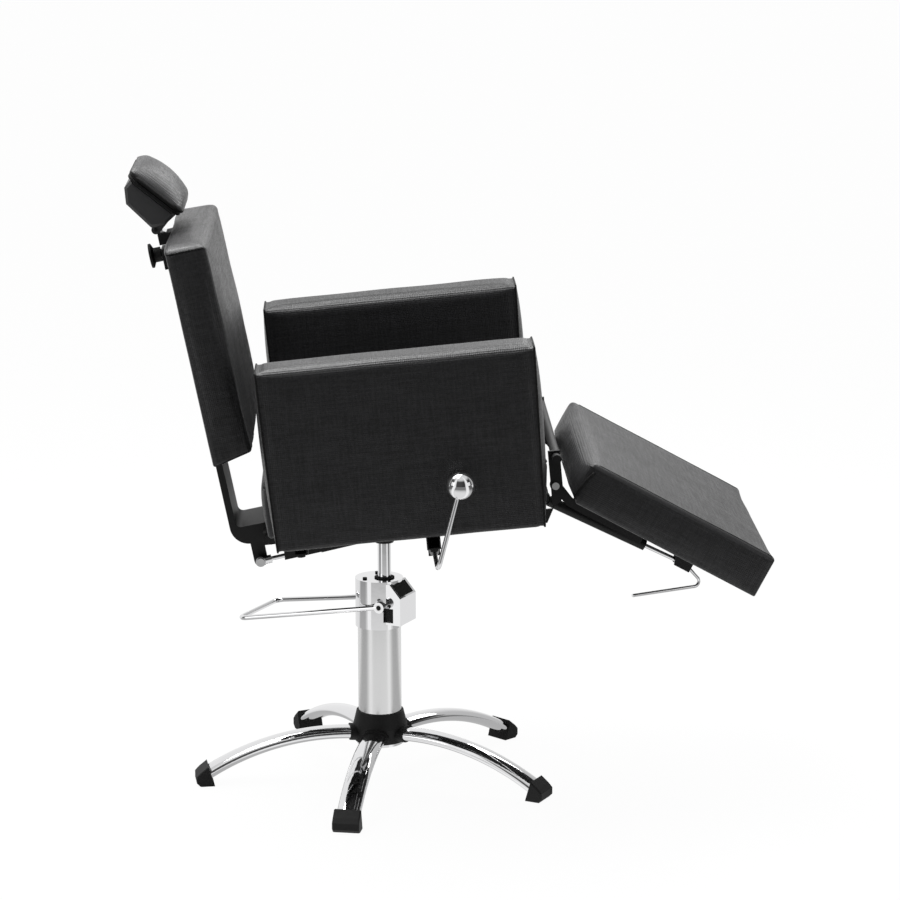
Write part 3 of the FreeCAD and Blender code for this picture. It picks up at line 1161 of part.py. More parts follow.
def make_guide(face):
    """Make the headrest's guide: a plate with two collars round the flat stem."""
    body = new_body("HeadGuide", BACK)
    half = D.guide_half_width
    reach = face - D.guide_reach
    guide_bottom = BACK_TOP - D.guide_drop
    guide_top = BACK_TOP + D.guide_rise
    knob_height = BACK_TOP - D.knob_drop
    lower_top = BACK_TOP - D.guide_lower_drop
    upper_bottom = BACK_TOP - D.guide_upper_drop
    prism(body, "XZ_Plane", -half, half,
          [rectangle(face - D.guide_plate_thickness, guide_bottom, face, guide_top)], "Plate")
    for low, high in ((guide_bottom, lower_top), (upper_bottom, guide_top)):
        prism(body, "XZ_Plane", -half, half, [rectangle(reach, low, face, high)], "Collar")
    slot = rectangle(-D.stem_half_width - D.running_gap, D.stem_rear - D.running_gap,
                     D.stem_half_width + D.running_gap, D.stem_rear + D.stem_thickness + D.running_gap)
    swapped = [(depth, side) for side, depth in slot]
    cut(body, "XY_Plane", guide_bottom - D.overrun, guide_top + D.overrun, [swapped], "StemSlot")
    stud = (0, knob_height, D.knob_stud_radius + D.running_gap)
    cut(body, "YZ_Plane", reach - D.overrun, D.stem_rear, [stud], "StudBore")
    node(body, "headrest_guide")
    knob = new_body("GuideKnob", BACK)
    rim = D.knob_radius
    waist = D.knob_waist
    front = D.knob_front
    height = knob_height
    profile = [(D.knob_rear, height), (D.knob_rear, height + rim), (D.knob_rear + D.knob_rim, height + rim),
               (D.knob_rear + D.knob_rim * 2, height + waist), (front, height + waist),
               (front, height + D.knob_stud_radius), (D.stem_rear - D.running_gap * 2, height
                                                      + D.knob_stud_radius),
               (D.stem_rear - D.running_gap * 2, height)]
    shifted = [(x, z - height) for x, z in profile]
    turned(knob, "H_Axis", [shifted], "Knob")
    lift = BACK.point(0, knob_height)
    knob.Placement = Placement(Vector(lift[0].value, 0, lift[1].value), knob.Placement.Rotation)
    knob.setExpression("Placement.Base.x", lift[0].text)
    knob.setExpression("Placement.Base.z", lift[1].text)
    node(knob, "guide_knob")


def make_stem():
    """Make the flat sliding stem, bent back to its knuckle, and the tilt pin."""
    body = new_body("HeadStem", BACK)
    half = D.stem_half_width
    front = D.stem_rear + D.stem_thickness
    neck = TILT_HEIGHT - D.stem_neck
    stem_bottom = BACK_TOP - D.stem_drop
    outline = [(D.stem_rear, stem_bottom), (front, stem_bottom), (front, neck),
               (D.tilt_place + D.stem_knuckle_radius / 2, TILT_HEIGHT),
               (D.tilt_place - D.stem_knuckle_radius / 2, TILT_HEIGHT - D.stem_knuckle_radius / 2),
               (D.stem_rear, neck)]
    prism(body, "XZ_Plane", -half, half, [outline], "Stem")
    prism(body, "XZ_Plane", -half, half, [(D.tilt_place, TILT_HEIGHT, D.stem_knuckle_radius)],
          "StemKnuckle")
    hole = (D.tilt_place, TILT_HEIGHT, D.tilt_pin_radius + D.running_gap)
    cut(body, "XZ_Plane", -half - D.overrun, half + D.overrun, [hole], "PinBore")
    node(body, "headrest_stem")
    pin = new_body("TiltPin", BACK)
    reach = D.tilt_pin_half_length
    prism(pin, "XZ_Plane", -reach, reach, [(D.tilt_place, TILT_HEIGHT, D.tilt_pin_radius)], "Pin")
    node(pin, "tilt_pin")


# shell outline: shares of the shell's length along it and of its depth below the pad
SHELL_SHARES = ((0.0, 0.0), (0.0, 0.38), (0.19, 0.8), (0.8, 1.0), (0.965, 0.58), (1.0, 0.0))


def make_headrest():
    """Make the moulded shell with its two ears, and the pad."""
    rear = D.shell_rear
    base = D.pad_base
    body = new_body("HeadShell", HEAD)
    half = D.shell_half_width
    outline = [(rear + D.shell_length * along, base - D.shell_depth * below)
               for along, below in SHELL_SHARES]
    block = prism(body, "XZ_Plane", -half, half, [outline], "Shell")
    across = Vector(0, 1, 0)
    soften(body, block, D.shell_fillet, lambda edge: not runs_along(edge, across)
           and edge.CenterOfMass.z < (base - D.soft_gap).value)
    inner = D.shell_ear_half_gap
    outer = inner + D.shell_ear_thickness
    ear_half = D.shell_ear_radius
    for side in (-1, 1):
        low, high = side_span(side, inner, outer)
        prism(body, "XZ_Plane", low, high, [rectangle(-ear_half, 0, ear_half, base - D.overrun)], "Ear")
        prism(body, "XZ_Plane", low, high, [(0, 0, ear_half)], "EarEnd")
    room = D.stem_knuckle_radius + D.overrun * 2
    cut(body, "XZ_Plane", -inner, inner, [(0, 0, room)], "StemRoom")
    bore = (0, 0, D.tilt_pin_radius + D.running_gap)
    cut(body, "XZ_Plane", -outer - D.overrun, outer + D.overrun, [bore], "PinBore")
    node(body, "headrest_shell")
    slab("headrest_pad", HEAD, D.pad_rear, D.pad_rear + D.pad_length, -D.head_half_width,
         D.head_half_width, base, base + D.pad_depth, D.pad_corner)


def check_and_write():
    """Stop at any failed object, then write each sub-part's file."""
    doc.recompute()
    for item in doc.Objects:
        if "Invalid" in item.State or "Error" in item.State:
            raise RuntimeError("failed object: %s %s" % (item.Name, item.State))
    os.makedirs("parts", exist_ok=True)
    for item in NODES:
        shape = item.Shape
        if shape.isNull() or not shape.isValid() or not shape.Solids:
            raise RuntimeError("bad shape: %s" % item.Label)
        shape.exportStep("parts/%s.step" % item.Label)
    print("sub-parts", len(NODES))


make_star()
make_pump()
make_pedal()
make_rails()
make_seat()
make_leg_mounts()
make_pins()
make_channel()
make_lever()
make_rest()
make_struts()
make_back()
make_stem()
make_headrest()
check_and_write()
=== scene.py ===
"""Looks of the reclining tattoo chair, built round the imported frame, in metres.

+X is the way the sitter faces, +Z is up and the camera looks from the sitter's right.
"""
import logging
import math
from dataclasses import dataclass, replace
from enum import Enum
from functools import reduce
from typing import Callable, Iterable, Sequence

import bmesh
import bpy
import numpy as np
from mathutils import Matrix, Vector
from mathutils.bvhtree import BVHTree


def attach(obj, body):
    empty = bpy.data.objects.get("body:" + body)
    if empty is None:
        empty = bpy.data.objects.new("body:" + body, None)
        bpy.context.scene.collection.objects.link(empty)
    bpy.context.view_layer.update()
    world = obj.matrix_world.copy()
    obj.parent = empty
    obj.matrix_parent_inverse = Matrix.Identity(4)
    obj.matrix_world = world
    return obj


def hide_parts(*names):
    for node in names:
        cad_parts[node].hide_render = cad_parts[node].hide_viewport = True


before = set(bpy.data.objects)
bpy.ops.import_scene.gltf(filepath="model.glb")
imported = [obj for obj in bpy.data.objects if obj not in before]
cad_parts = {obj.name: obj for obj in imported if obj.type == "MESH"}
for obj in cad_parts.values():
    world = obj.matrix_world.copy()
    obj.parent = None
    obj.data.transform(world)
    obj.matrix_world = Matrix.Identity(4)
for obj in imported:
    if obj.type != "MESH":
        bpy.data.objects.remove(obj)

LOG = logging.getLogger("tattoo_chair")
MILLIMETRES = 1000.0  # in a metre
WAVE_RADIANS = 20.0  # what a wave texture of scale 1 turns in one unit
WAVE_SCALE = MILLIMETRES * math.tau / WAVE_RADIANS  # its scale times its wavelength in millimetres
MERGE_DISTANCE = 1e-6
LEVEL_GUIDE_LIMIT = 0.9  # a path that starts steeper than this takes a level guide
# Each wave of the cloth's unevenness: what it turns with X, with Y, with Z and with the seed
RIPPLE_WAVES = ((1.7, 2.3, 0.0, 1.0), (0.0, 1.9, -2.9, 1.7), (1.3, 0.0, 2.1, 2.3))
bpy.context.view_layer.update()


# Local frames, at the same places as the source's leaning frames

def leaning_frame(x: float, z: float, degrees: float) -> Matrix:
    """Return a frame in the X-Z plane.

    Args:
        x: The frame's place along the chair.
        z: The frame's height.
        degrees: How far its X axis rises towards the front.

    Returns:
        The frame's matrix.
    """
    return Matrix.Translation((x, 0.0, z)) @ Matrix.Rotation(math.radians(-degrees), 4, "Y")


class Place(Enum):
    """The chair's local frames."""

    SEAT = leaning_frame(0.0, 0.600, 5.2)
    BACK = leaning_frame(-0.18984, 0.46825, 11.43)
    REST = leaning_frame(0.36063, 0.63402, -28.64)
    HEAD = leaning_frame(-0.38406, 1.00399, -38.7)
    PUMP = Matrix.Rotation(math.radians(-28.0), 4, "Z")


# Materials

def srgb(code: str) -> tuple[float, float, float, float]:
    """Turn an sRGB hex value into linear light.

    Args:
        code: The colour, such as "#1a1a1b".

    Returns:
        Red, green, blue and an alpha of 1.
    """
    parts = [int(code[index:index + 2], 16) / 255 for index in (1, 3, 5)]
    linear = [part / 12.92 if part <= 0.04045 else ((part + 0.055) / 1.055) ** 2.4 for part in parts]
    return linear[0], linear[1], linear[2], 1.0


def add_node(tree: bpy.types.NodeTree, kind: str, settings: dict | None = None,
             links: dict | None = None) -> bpy.types.Node:
    """Add a node with its settings and its links.

    Args:
        tree: The node tree.
        kind: The node's type name.
        settings: Attributes, or input sockets by name or number, with their values.
        links: Input sockets by name or number, with the output sockets that feed them.

    Returns:
        The new node.
    """
    made = tree.nodes.new(kind)
    for key, value in (settings or {}).items():
        if isinstance(key, str) and hasattr(made, key) and key not in made.inputs:
            setattr(made, key, value)
        else:
            made.inputs[key].default_value = value
    for key, source in (links or {}).items():
        tree.links.new(source, made.inputs[key])
    return made


@dataclass(frozen=True)
class Finish:
    """A surface finish: what it is made of, with its colour and gloss."""

    name: str
    colour: str
    roughness: float
    metallic: float = 0.0
    specular: float = 0.5

    def start(self) -> tuple[bpy.types.Material, bpy.types.NodeTree, bpy.types.Node]:
        """Return a new material, its tree and its main shader with the plain values set."""
        made = bpy.data.materials.new(self.name)
        made.use_nodes = True
        shader = made.node_tree.nodes["Principled BSDF"]
        for socket, value in (("Base Color", srgb(self.colour)), ("Roughness", self.roughness),
                              ("Metallic", self.metallic), ("Specular IOR Level", self.specular)):
            shader.inputs[socket].default_value = value
        return made, made.node_tree, shader

    def build(self) -> bpy.types.Material:
        """Return the finished material."""
        return self.start()[0]

    def texture(self, tree: bpy.types.NodeTree, shader: bpy.types.Node, pattern: bpy.types.NodeSocket,
                spread: tuple[float, float], strength: float, depth_mm: float) -> None:
        """Let a pattern vary the gloss and stand out of the surface.

        Args:
            tree: The material's tree.
            shader: The material's main shader.
            pattern: The socket with the pattern.
            spread: What the pattern's low and high spots add to the roughness.
            strength: How strongly its height turns the light, from 0 to 1.
            depth_mm: Its height.
        """
        gloss = add_node(tree, "ShaderNodeMapRange", {
            "To Min": self.roughness + spread[0], "To Max": self.roughness + spread[1]},
            {"Value": pattern})
        tree.links.new(gloss.outputs["Result"], shader.inputs["Roughness"])
        bump = add_node(tree, "ShaderNodeBump", {"Strength": strength, "Distance": depth_mm / MILLIMETRES},
                        {"Height": pattern})
        tree.links.new(bump.outputs["Normal"], shader.inputs["Normal"])


@dataclass(frozen=True)
class Leatherette(Finish):
    """PVC-coated cloth, calendered with a fine linen emboss: soft sheen, faint cross threads."""

    thread_mm: float = 3.2  # the real threads are 0.7 mm apart; drawn coarser so that they show
    stray: float = 1.2  # how far a thread wanders from straight, and how finely
    stray_scale: float = 0.6
    emboss: float = 0.65
    depth_mm: float = 0.22
    streaks_across: float = 0.9  # streaks to a thread's width, across them and along them
    streaks_along: float = 0.06
    streak_range: tuple[float, float] = (1.2, 1.8)  # what three streak patterns mostly add up to
    tones: tuple[float, float] = (0.5, 1.6)
    gloss_spread: tuple[float, float] = (0.07, -0.06)
    fold_mm: float = 70.0
    fold_strength: float = 0.3
    fold_depth_mm: float = 4.0

    def build(self) -> bpy.types.Material:
        """Return the material, with a linen emboss along all three axes of the piece."""
        made, tree, shader = self.start()
        place = add_node(tree, "ShaderNodeTexCoord").outputs["Object"]
        threads = [add_node(tree, "ShaderNodeTexWave", {
            "wave_type": "BANDS", "bands_direction": direction, "Scale": WAVE_SCALE / self.thread_mm,
            "Distortion": self.stray, "Detail": 1.0, "Detail Scale": self.stray_scale},
            {"Vector": place}).outputs["Fac"] for direction in ("X", "Y", "Z")]
        streak = self.total(tree, self.streaks(tree, place))
        low, high = self.streak_range
        tone = add_node(tree, "ShaderNodeMapRange", {
            "From Min": low, "From Max": high, "To Min": self.tones[0], "To Max": self.tones[1]},
            {"Value": streak})
        colour = add_node(tree, "ShaderNodeVectorMath", {"operation": "SCALE", 0: srgb(self.colour)[:3]},
                          {"Scale": tone.outputs["Result"]})
        tree.links.new(colour.outputs["Vector"], shader.inputs["Base Color"])
        gloss = add_node(tree, "ShaderNodeMapRange", {
            "From Min": low, "From Max": high, "To Min": self.roughness + self.gloss_spread[0],
            "To Max": self.roughness + self.gloss_spread[1]}, {"Value": streak})
        tree.links.new(gloss.outputs["Result"], shader.inputs["Roughness"])
        linen = add_node(tree, "ShaderNodeBump", {
            "Strength": self.emboss, "Distance": self.depth_mm / MILLIMETRES},
            {"Height": self.total(tree, threads)})
        folds = add_node(tree, "ShaderNodeTexNoise", {"Scale": MILLIMETRES / self.fold_mm, "Detail": 2.0},
                         {"Vector": place})
        soft = add_node(tree, "ShaderNodeBump", {
            "Strength": self.fold_strength, "Distance": self.fold_depth_mm / MILLIMETRES},
            {"Height": folds.outputs["Fac"], "Normal": linen.outputs["Normal"]})
        tree.links.new(soft.outputs["Normal"], shader.inputs["Normal"])
        return made

    def streaks(self, tree: bpy.types.NodeTree, place: bpy.types.NodeSocket) -> list[bpy.types.NodeSocket]:
        """Return three patterns of long streaks, one along each axis of the piece.

        Args:
            tree: The material's tree.
            place: The socket with the place on the piece.

        Returns:
            The sockets with the patterns.
        """
        found = []
        for index in range(3):
            scale = [MILLIMETRES * self.streaks_across / self.thread_mm] * 3
            scale[index] = MILLIMETRES * self.streaks_along / self.thread_mm
            stretch = add_node(tree, "ShaderNodeMapping", {"Scale": scale}, {"Vector": place})
            found.append(add_node(tree, "ShaderNodeTexNoise", {"Scale": 1.0, "Detail": 2.0},
                                  {"Vector": stretch.outputs["Vector"]}).outputs["Fac"])
        return found

    def total(self, tree: bpy.types.NodeTree, patterns: Sequence[bpy.types.NodeSocket]
              ) -> bpy.types.NodeSocket:
        """Return a socket with the sum of several patterns."""
        return reduce(lambda one, other: add_node(
            tree, "ShaderNodeMath", {"operation": "ADD"}, {0: one, 1: other}).outputs[0], patterns)


@dataclass(frozen=True)
class Plated(Finish):
    """Nickel-chromium plating on polished steel: a mirror with faint polishing waves."""

    wave_mm: float = 14.0
    wave_strength: float = 0.06
    wave_depth_mm: float = 1.0

    def build(self) -> bpy.types.Material:
        """Return the material, with waves as wide as a polishing wheel leaves."""
        made, tree, shader = self.start()
        place = add_node(tree, "ShaderNodeTexCoord")
        noise = add_node(tree, "ShaderNodeTexNoise", {"Scale": MILLIMETRES / self.wave_mm, "Detail": 1.0},
                         {"Vector": place.outputs["Object"]})
        bump = add_node(tree, "ShaderNodeBump", {
            "Strength": self.wave_strength, "Distance": self.wave_depth_mm / MILLIMETRES},
            {"Height": noise.outputs["Fac"]})
        tree.links.new(bump.outputs["Normal"], shader.inputs["Normal"])
        return made


@dataclass(frozen=True)
class Brushed(Finish):
    """Drawn steel tube with a satin grain along its length: long soft highlights."""

    grain_mm: float = 1.6  # real grit lines are 0.1 mm; drawn coarser so that they show
    stretch: float = 90.0  # a grain line's length over its width
    anisotropy: float = 0.55
    gloss_spread: tuple[float, float] = (-0.05, 0.10)
    grain_strength: float = 0.08
    grain_depth_mm: float = 0.4

    def build(self) -> bpy.types.Material:
        """Return the material, with its grain stretched along the tube."""
        made, tree, shader = self.start()
        shader.inputs["Anisotropic"].default_value = self.anisotropy
        place = add_node(tree, "ShaderNodeTexCoord")
        lines = MILLIMETRES / self.grain_mm
        stretch = add_node(tree, "ShaderNodeMapping", {"Scale": (lines, lines, lines / self.stretch)},
                           {"Vector": place.outputs["Object"]})
        noise = add_node(tree, "ShaderNodeTexNoise", {"Scale": 1.0, "Detail": 3.0},
                         {"Vector": stretch.outputs["Vector"]})
        self.texture(tree, shader, noise.outputs["Fac"], self.gloss_spread, self.grain_strength,
                     self.grain_depth_mm)
        return made


@dataclass(frozen=True)
class Grained(Finish):
    """Powder coat or moulded plastic: a fine pebbled skin that breaks up the highlight."""

    pebble_mm: float = 2.2  # real texture is 0.3 mm; drawn coarser so that it shows
    gloss_spread: tuple[float, float] = (-0.06, 0.08)
    pebble_strength: float = 0.3
    depth_mm: float = 0.05

    def build(self) -> bpy.types.Material:
        """Return the material, with its pebbled skin."""
        made, tree, shader = self.start()
        place = add_node(tree, "ShaderNodeTexCoord")
        noise = add_node(tree, "ShaderNodeTexNoise", {"Scale": MILLIMETRES / self.pebble_mm, "Detail": 3.0},
                         {"Vector": place.outputs["Object"]})
        self.texture(tree, shader, noise.outputs["Fac"], self.gloss_spread, self.pebble_strength,
                     self.depth_mm)
        return made


@dataclass(frozen=True)
class Plywood(Finish):
    """Beech plywood, sawn and left bare: pale, with long darker figure."""

    ring_mm: float = 9.0
    figure: str = "#8c6a45"
    stray: float = 6.0

    def build(self) -> bpy.types.Material:
        """Return the material, with rings as far apart as the veneer's."""
        made, tree, shader = self.start()
        place = add_node(tree, "ShaderNodeTexCoord")
        wave = add_node(tree, "ShaderNodeTexWave", {
            "bands_direction": "Z", "Scale": WAVE_SCALE / self.ring_mm, "Distortion": self.stray,
            "Detail": 3.0}, {"Vector": place.outputs["Object"]})
        tone = add_node(tree, "ShaderNodeValToRGB", {}, {"Fac": wave.outputs["Fac"]})
        for stop, colour in zip(tone.color_ramp.elements, (self.figure, self.colour)):
            stop.color = srgb(colour)
        tree.links.new(tone.outputs["Color"], shader.inputs["Base Color"])
        return made


class Skin(Enum):
    """The chair's finishes, each with the record's slot of the same material."""

    LEATHERETTE = ("leatherette", Leatherette("black_leatherette", "#1a1a1b", 0.40, specular=0.35))
    # The welt finish is darker and duller than the cover: it paints the shade of the creases at welts,
    # seams, stitches, piping and hinge slits.
    WELT = ("leatherette", Leatherette("welt_leatherette_painted_shade", "#080808", 0.62, specular=0.2))
    CHROME = ("chrome", Plated("chromium_plate", "#e2e2e3", 0.05, metallic=1.0))
    SATIN = ("satin_steel", Brushed("satin_steel_tube", "#dcdcdc", 0.19, metallic=1.0))
    COATED = ("black_steel", Grained("black_powder_coat", "#0d0d0d", 0.50, specular=0.3))
    MOULDED = ("black_plastic", Grained("moulded_abs", "#2b2b2c", 0.42, specular=0.5))
    MATT = ("black_plastic", Grained("matt_polypropylene", "#101010", 0.62, specular=0.3))
    PLYWOOD = ("plywood", Plywood("beech_plywood", "#b08a5c", 0.6))
    RUBBER = ("rubber", Grained("nitrile_rubber", "#0e0e0e", 0.7, pebble_mm=3.0))

    def material(self) -> bpy.types.Material:
        """Return this finish's material, made once."""
        found = bpy.data.materials.get(self.value[1].name)
        return found or self.value[1].build()


# Meshes

def as_object(name: str, verts: np.ndarray, faces: Iterable[Sequence[int]], place: Place,
              body: str, skin: Skin, angle: float | None = None) -> bpy.types.Object:
    """Make a piece from its points, put it in its frame, finish it and let it ride on a body.

    Args:
        name: The piece's name.
        verts: Its points, in the local frame.
        faces: Its faces, as point numbers.
        place: The local frame.
        body: The body that carries it.
        skin: Its finish.
        angle: Where given, edges that are sharper than this many degrees stay sharp.

    Returns:
        The new object.
    """
    mesh = bpy.data.meshes.new(name)
    mesh.from_pydata([tuple(map(float, point)) for point in verts], [], [tuple(one) for one in faces])
    work = bmesh.new()
    work.from_mesh(mesh)
    bmesh.ops.remove_doubles(work, verts=work.verts, dist=MERGE_DISTANCE)
    bmesh.ops.recalc_face_normals(work, faces=work.faces)
    for one in work.faces:
        one.smooth = True
    if angle is not None:
        for edge in work.edges:
            if len(edge.link_faces) == 2 and edge.calc_face_angle(0.0) > math.radians(angle):
                edge.smooth = False
    work.to_mesh(mesh)
    work.free()
    made = bpy.data.objects.new(name, mesh)
    bpy.context.scene.collection.objects.link(made)
    made.matrix_world = place.value
    mesh.materials.append(skin.material())
    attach(made, body)
    LOG.info("%s: %d faces, rides on %s", name, len(mesh.polygons), body)
    return made


class Side(Enum):
    """The sitter's sides; the value is the sign of Y there."""

    RIGHT = -1
    LEFT = 1

    def label(self) -> str:
        """Return the side's word in the names of pieces."""
        return self.name.lower()


class Run(Enum):
    """The way in which a block runs; the value is the two columns that its outline takes up."""

    ACROSS = (0, 2)
    AHEAD = (1, 2)

    def to_space(self, flat: np.ndarray, along: np.ndarray | float) -> np.ndarray:
        """Return points in space.

        Args:
            flat: The points' outline coordinates, one row each.
            along: Their places along the run, or the one place of them all.

        Returns:
            The points, one row each.
        """
        found = np.empty((len(flat), 3))
        found[:, 1 - self.value[0]] = along
        found[:, self.value] = flat
        return found


@dataclass(frozen=True)
class Outline:
    """A closed convex outline; each corner has one radius at a block's ends and one mid-span."""

    corners: tuple[tuple[float, float, float, float], ...]
    step: float = 0.006
    turns: int = 6
    least: float = 0.0008

    @classmethod
    def rectangle(cls, low: tuple[float, float], high: tuple[float, float], radius: float,
                  step: float = 0.006) -> "Outline":
        """Return a rectangle between two corners, with all of its corners rounded alike.

        Args:
            low: The corner with the lowest coordinates.
            high: The corner with the highest coordinates.
            radius: The radius of all corners.
            step: How far apart the points of the straight sides are.

        Returns:
            The outline.
        """
        corners = (low, (high[0], low[1]), high, (low[0], high[1]))
        return cls(tuple((first, second, radius, radius) for first, second in corners), step)

    def at(self, inset: float = 0.0, middle: float = 0.0) -> np.ndarray:
        """Return the outline's points, with straight sides moved in and corners kept mitred.

        Args:
            inset: How far the sides move in.
            middle: 0 at a block's ends and 1 mid-span.

        Returns:
            The points, one row each; their number is always the same.
        """
        here = np.array([corner[:2] for corner in self.corners])
        ahead = np.roll(here, -1, axis=0) - here
        lengths = np.linalg.norm(ahead, axis=1)
        ahead = ahead / lengths[:, None]
        arcs = []
        for index, (_, _, end, mid) in enumerate(self.corners):
            before, after = -ahead[index - 1], ahead[index]
            half = math.acos(float(np.clip(before @ after, -1, 1))) / 2
            bisector = (before + after) / np.linalg.norm(before + after)
            corner = here[index] + bisector * inset / math.sin(half)
            radius = max(end + (mid - end) * middle - inset, self.least)
            reach = radius / math.tan(half)
            centre = corner + bisector * radius / math.sin(half)
            start, finish = corner + before * reach - centre, corner + after * reach - centre
            first = math.atan2(start[1], start[0])
            sweep = (math.atan2(finish[1], finish[0]) - first + math.pi) % math.tau - math.pi
            arcs.append([centre + radius * np.array((math.cos(first + sweep * k / self.turns),
                                                     math.sin(first + sweep * k / self.turns)))
                         for k in range(self.turns + 1)])
        points: list[np.ndarray] = []
        for index, arc in enumerate(arcs):
            points.extend(arc)
            finish = arcs[(index + 1) % len(arcs)][0]
            pieces = max(1, int(lengths[index] / self.step))
            points.extend(arc[-1] + (finish - arc[-1]) * k / pieces for k in range(1, pieces))
        return np.array(points)


def outline_normals(outline: np.ndarray) -> np.ndarray:
    """Return the outward directions of an anticlockwise outline.

    Args:
        outline: The outline's points, one row each.

    Returns:
        One unit direction for each point.
    """
    along = np.roll(outline, -1, axis=0) - np.roll(outline, 1, axis=0)
    normals = np.stack((along[:, 1], -along[:, 0]), axis=1)
    return normals / np.linalg.norm(normals, axis=1, keepdims=True)


def band(first: int, second: int, count: int) -> list[tuple[int, ...]]:
    """Return the faces between two rings of points, from the number of each ring's first point."""
    return [(first + k, first + (k + 1) % count, second + (k + 1) % count, second + k)
            for k in range(count)]


@dataclass
class Loft:
    """A closed block: an outline carried along its run, with rounded ends that may be puffed."""

    outline: Outline
    low: float
    high: float
    edge: float
    puffs: tuple[float, float] = (0.0, 0.0)
    run: Run = Run.ACROSS
    step: float = 0.007
    turns: int = 5
    rings: int = 12
    core: float = 0.5  # what an end's last ring leaves open, as a share of a ring
    puff_power: float = 2.6
    fold: float = 4.0
    swell: Callable[[np.ndarray, np.ndarray, float], np.ndarray] | None = None
    bend: Callable[[np.ndarray], np.ndarray] | None = None

    def stations(self) -> list[tuple[float, float]]:
        """Return the places along the run, each with how far the outline draws in there."""
        start, length = self.low + self.edge, self.high - self.low - 2 * self.edge
        pieces = max(2, int(length / self.step))
        bends = [(1 - math.cos(math.pi / 2 * k / self.turns), 1 - math.sin(math.pi / 2 * k / self.turns))
                 for k in range(self.turns + 1)]
        found = [(self.low + self.edge * out, self.edge * draw) for out, draw in bends]
        found.extend((start + length * k / pieces, 0.0) for k in range(1, pieces))
        found.extend((self.high - self.edge * out, self.edge * draw) for out, draw in reversed(bends))
        return found

    def build(self) -> tuple[np.ndarray, list[tuple[int, ...]]]:
        """Return the block's points and faces."""
        rows = []
        for along, inset in self.stations():
            share = (2 * along - self.low - self.high) / (self.high - self.low)
            flat = self.outline.at(inset, 1 - abs(share) ** self.fold)
            if self.swell is not None:
                flat = self.swell(flat, outline_normals(flat), along)
            rows.append(self.run.to_space(flat, along))
        count, last = len(rows[0]), len(rows) - 1
        verts = np.concatenate(rows)
        faces = [face for row in range(last) for face in band(row * count, (row + 1) * count, count)]
        for side, row, level in ((0, 0, self.low), (1, last, self.high)):
            verts, faces = self.cap(verts, faces, row * count, count, side, level)
        return verts if self.bend is None else self.bend(verts), faces

    def cap(self, verts: np.ndarray, faces: list[tuple[int, ...]], first: int, count: int, side: int,
            level: float) -> tuple[np.ndarray, list[tuple[int, ...]]]:
        """Close one end with shrinking rings.

        Args:
            verts: The points so far.
            faces: The faces so far.
            first: The number of the end ring's first point.
            count: The points in a ring.
            side: 1 at the high end and 0 at the low end.
            level: Where the end lies along the run.

        Returns:
            The points and the faces with the end closed.
        """
        rim = verts[first:first + count][:, self.run.value]
        middle = (rim.max(axis=0) + rim.min(axis=0)) / 2
        half = (rim.max(axis=0) - rim.min(axis=0)) / 2
        previous = first
        for ring in range(1, self.rings + 1):
            flat = middle + (rim - middle) * (1 - ring / (self.rings + self.core))
            near = dome((flat - middle) / half, self.puff_power)
            bulge = self.puffs[side] * near[:, 0] * near[:, 1]
            start = len(verts)
            verts = np.concatenate((verts, self.run.to_space(flat, level + (2 * side - 1) * bulge)))
            faces.extend(band(previous, start, count))
            previous = start
        faces.append(tuple(range(previous, previous + count)))
        return verts, faces


def tube(path: Sequence[Sequence[float]], radius: float, closed: bool,
         sides: int = 10) -> tuple[np.ndarray, list[tuple[int, ...]]]:
    """Return a round tube along a path.

    Args:
        path: The points that it follows.
        radius: The tube's radius.
        closed: Whether it runs back to its start.
        sides: The points round the tube.

    Returns:
        The tube's points and faces.
    """
    line = np.array(path, float)
    count = len(line)
    if closed:
        ahead = np.roll(line, -1, axis=0) - np.roll(line, 1, axis=0)
    else:
        ahead = np.gradient(line, axis=0)
    ahead /= np.linalg.norm(ahead, axis=1, keepdims=True)
    guide = np.array((0.0, 0.0, 1.0) if abs(ahead[0, 2]) < LEVEL_GUIDE_LIMIT else (1.0, 0.0, 0.0))
    rows = []
    for k in range(count):
        guide = guide - ahead[k] * (guide @ ahead[k])
        guide /= np.linalg.norm(guide)
        other = np.cross(ahead[k], guide)
        for side in range(sides):
            angle = math.tau * side / sides
            rows.append(line[k] + radius * (math.cos(angle) * guide + math.sin(angle) * other))
    faces = [face for k in range(count if closed else count - 1)
             for face in band(k * sides, (k + 1) % count * sides, sides)]
    if not closed:
        faces.append(tuple(range(sides)))
        faces.append(tuple(range((count - 1) * sides, count * sides)))
    return np.array(rows), faces


def on_surface(body: bpy.types.Object, path: Iterable[Sequence[float]], lift: float) -> list[Vector]:
    """Move points onto a piece's surface and then out by a lift.

    Args:
        body: The piece.
        path: The points, in the piece's own frame.
        lift: How far they stand out, or lie in where it is negative.

    Returns:
        The moved points.
    """
    tree = BVHTree.FromPolygons([point.co for point in body.data.vertices],
                                [face.vertices for face in body.data.polygons])
    found = []
    for point in path:
        spot, normal, _, _ = tree.find_nearest(Vector(tuple(map(float, point))))
        found.append(spot + normal * lift)
    return found


def dome(share: np.ndarray | float, power: float) -> np.ndarray | float:
    """Return 1 in the middle of a share from -1 to 1 and 0 at its ends; a high power is flat."""
    return 1 - np.abs(share) ** power


def ripple(points: np.ndarray, pitch: float, seed: float) -> np.ndarray:
    """Return a smooth even unevenness from -1 to 1 at each point, from three crossed waves."""
    x, y, z = (points / pitch).T
    return sum(np.sin(x * a + y * b + z * c + seed * d) for a, b, c, d in RIPPLE_WAVES) / len(RIPPLE_WAVES)


# Upholstery

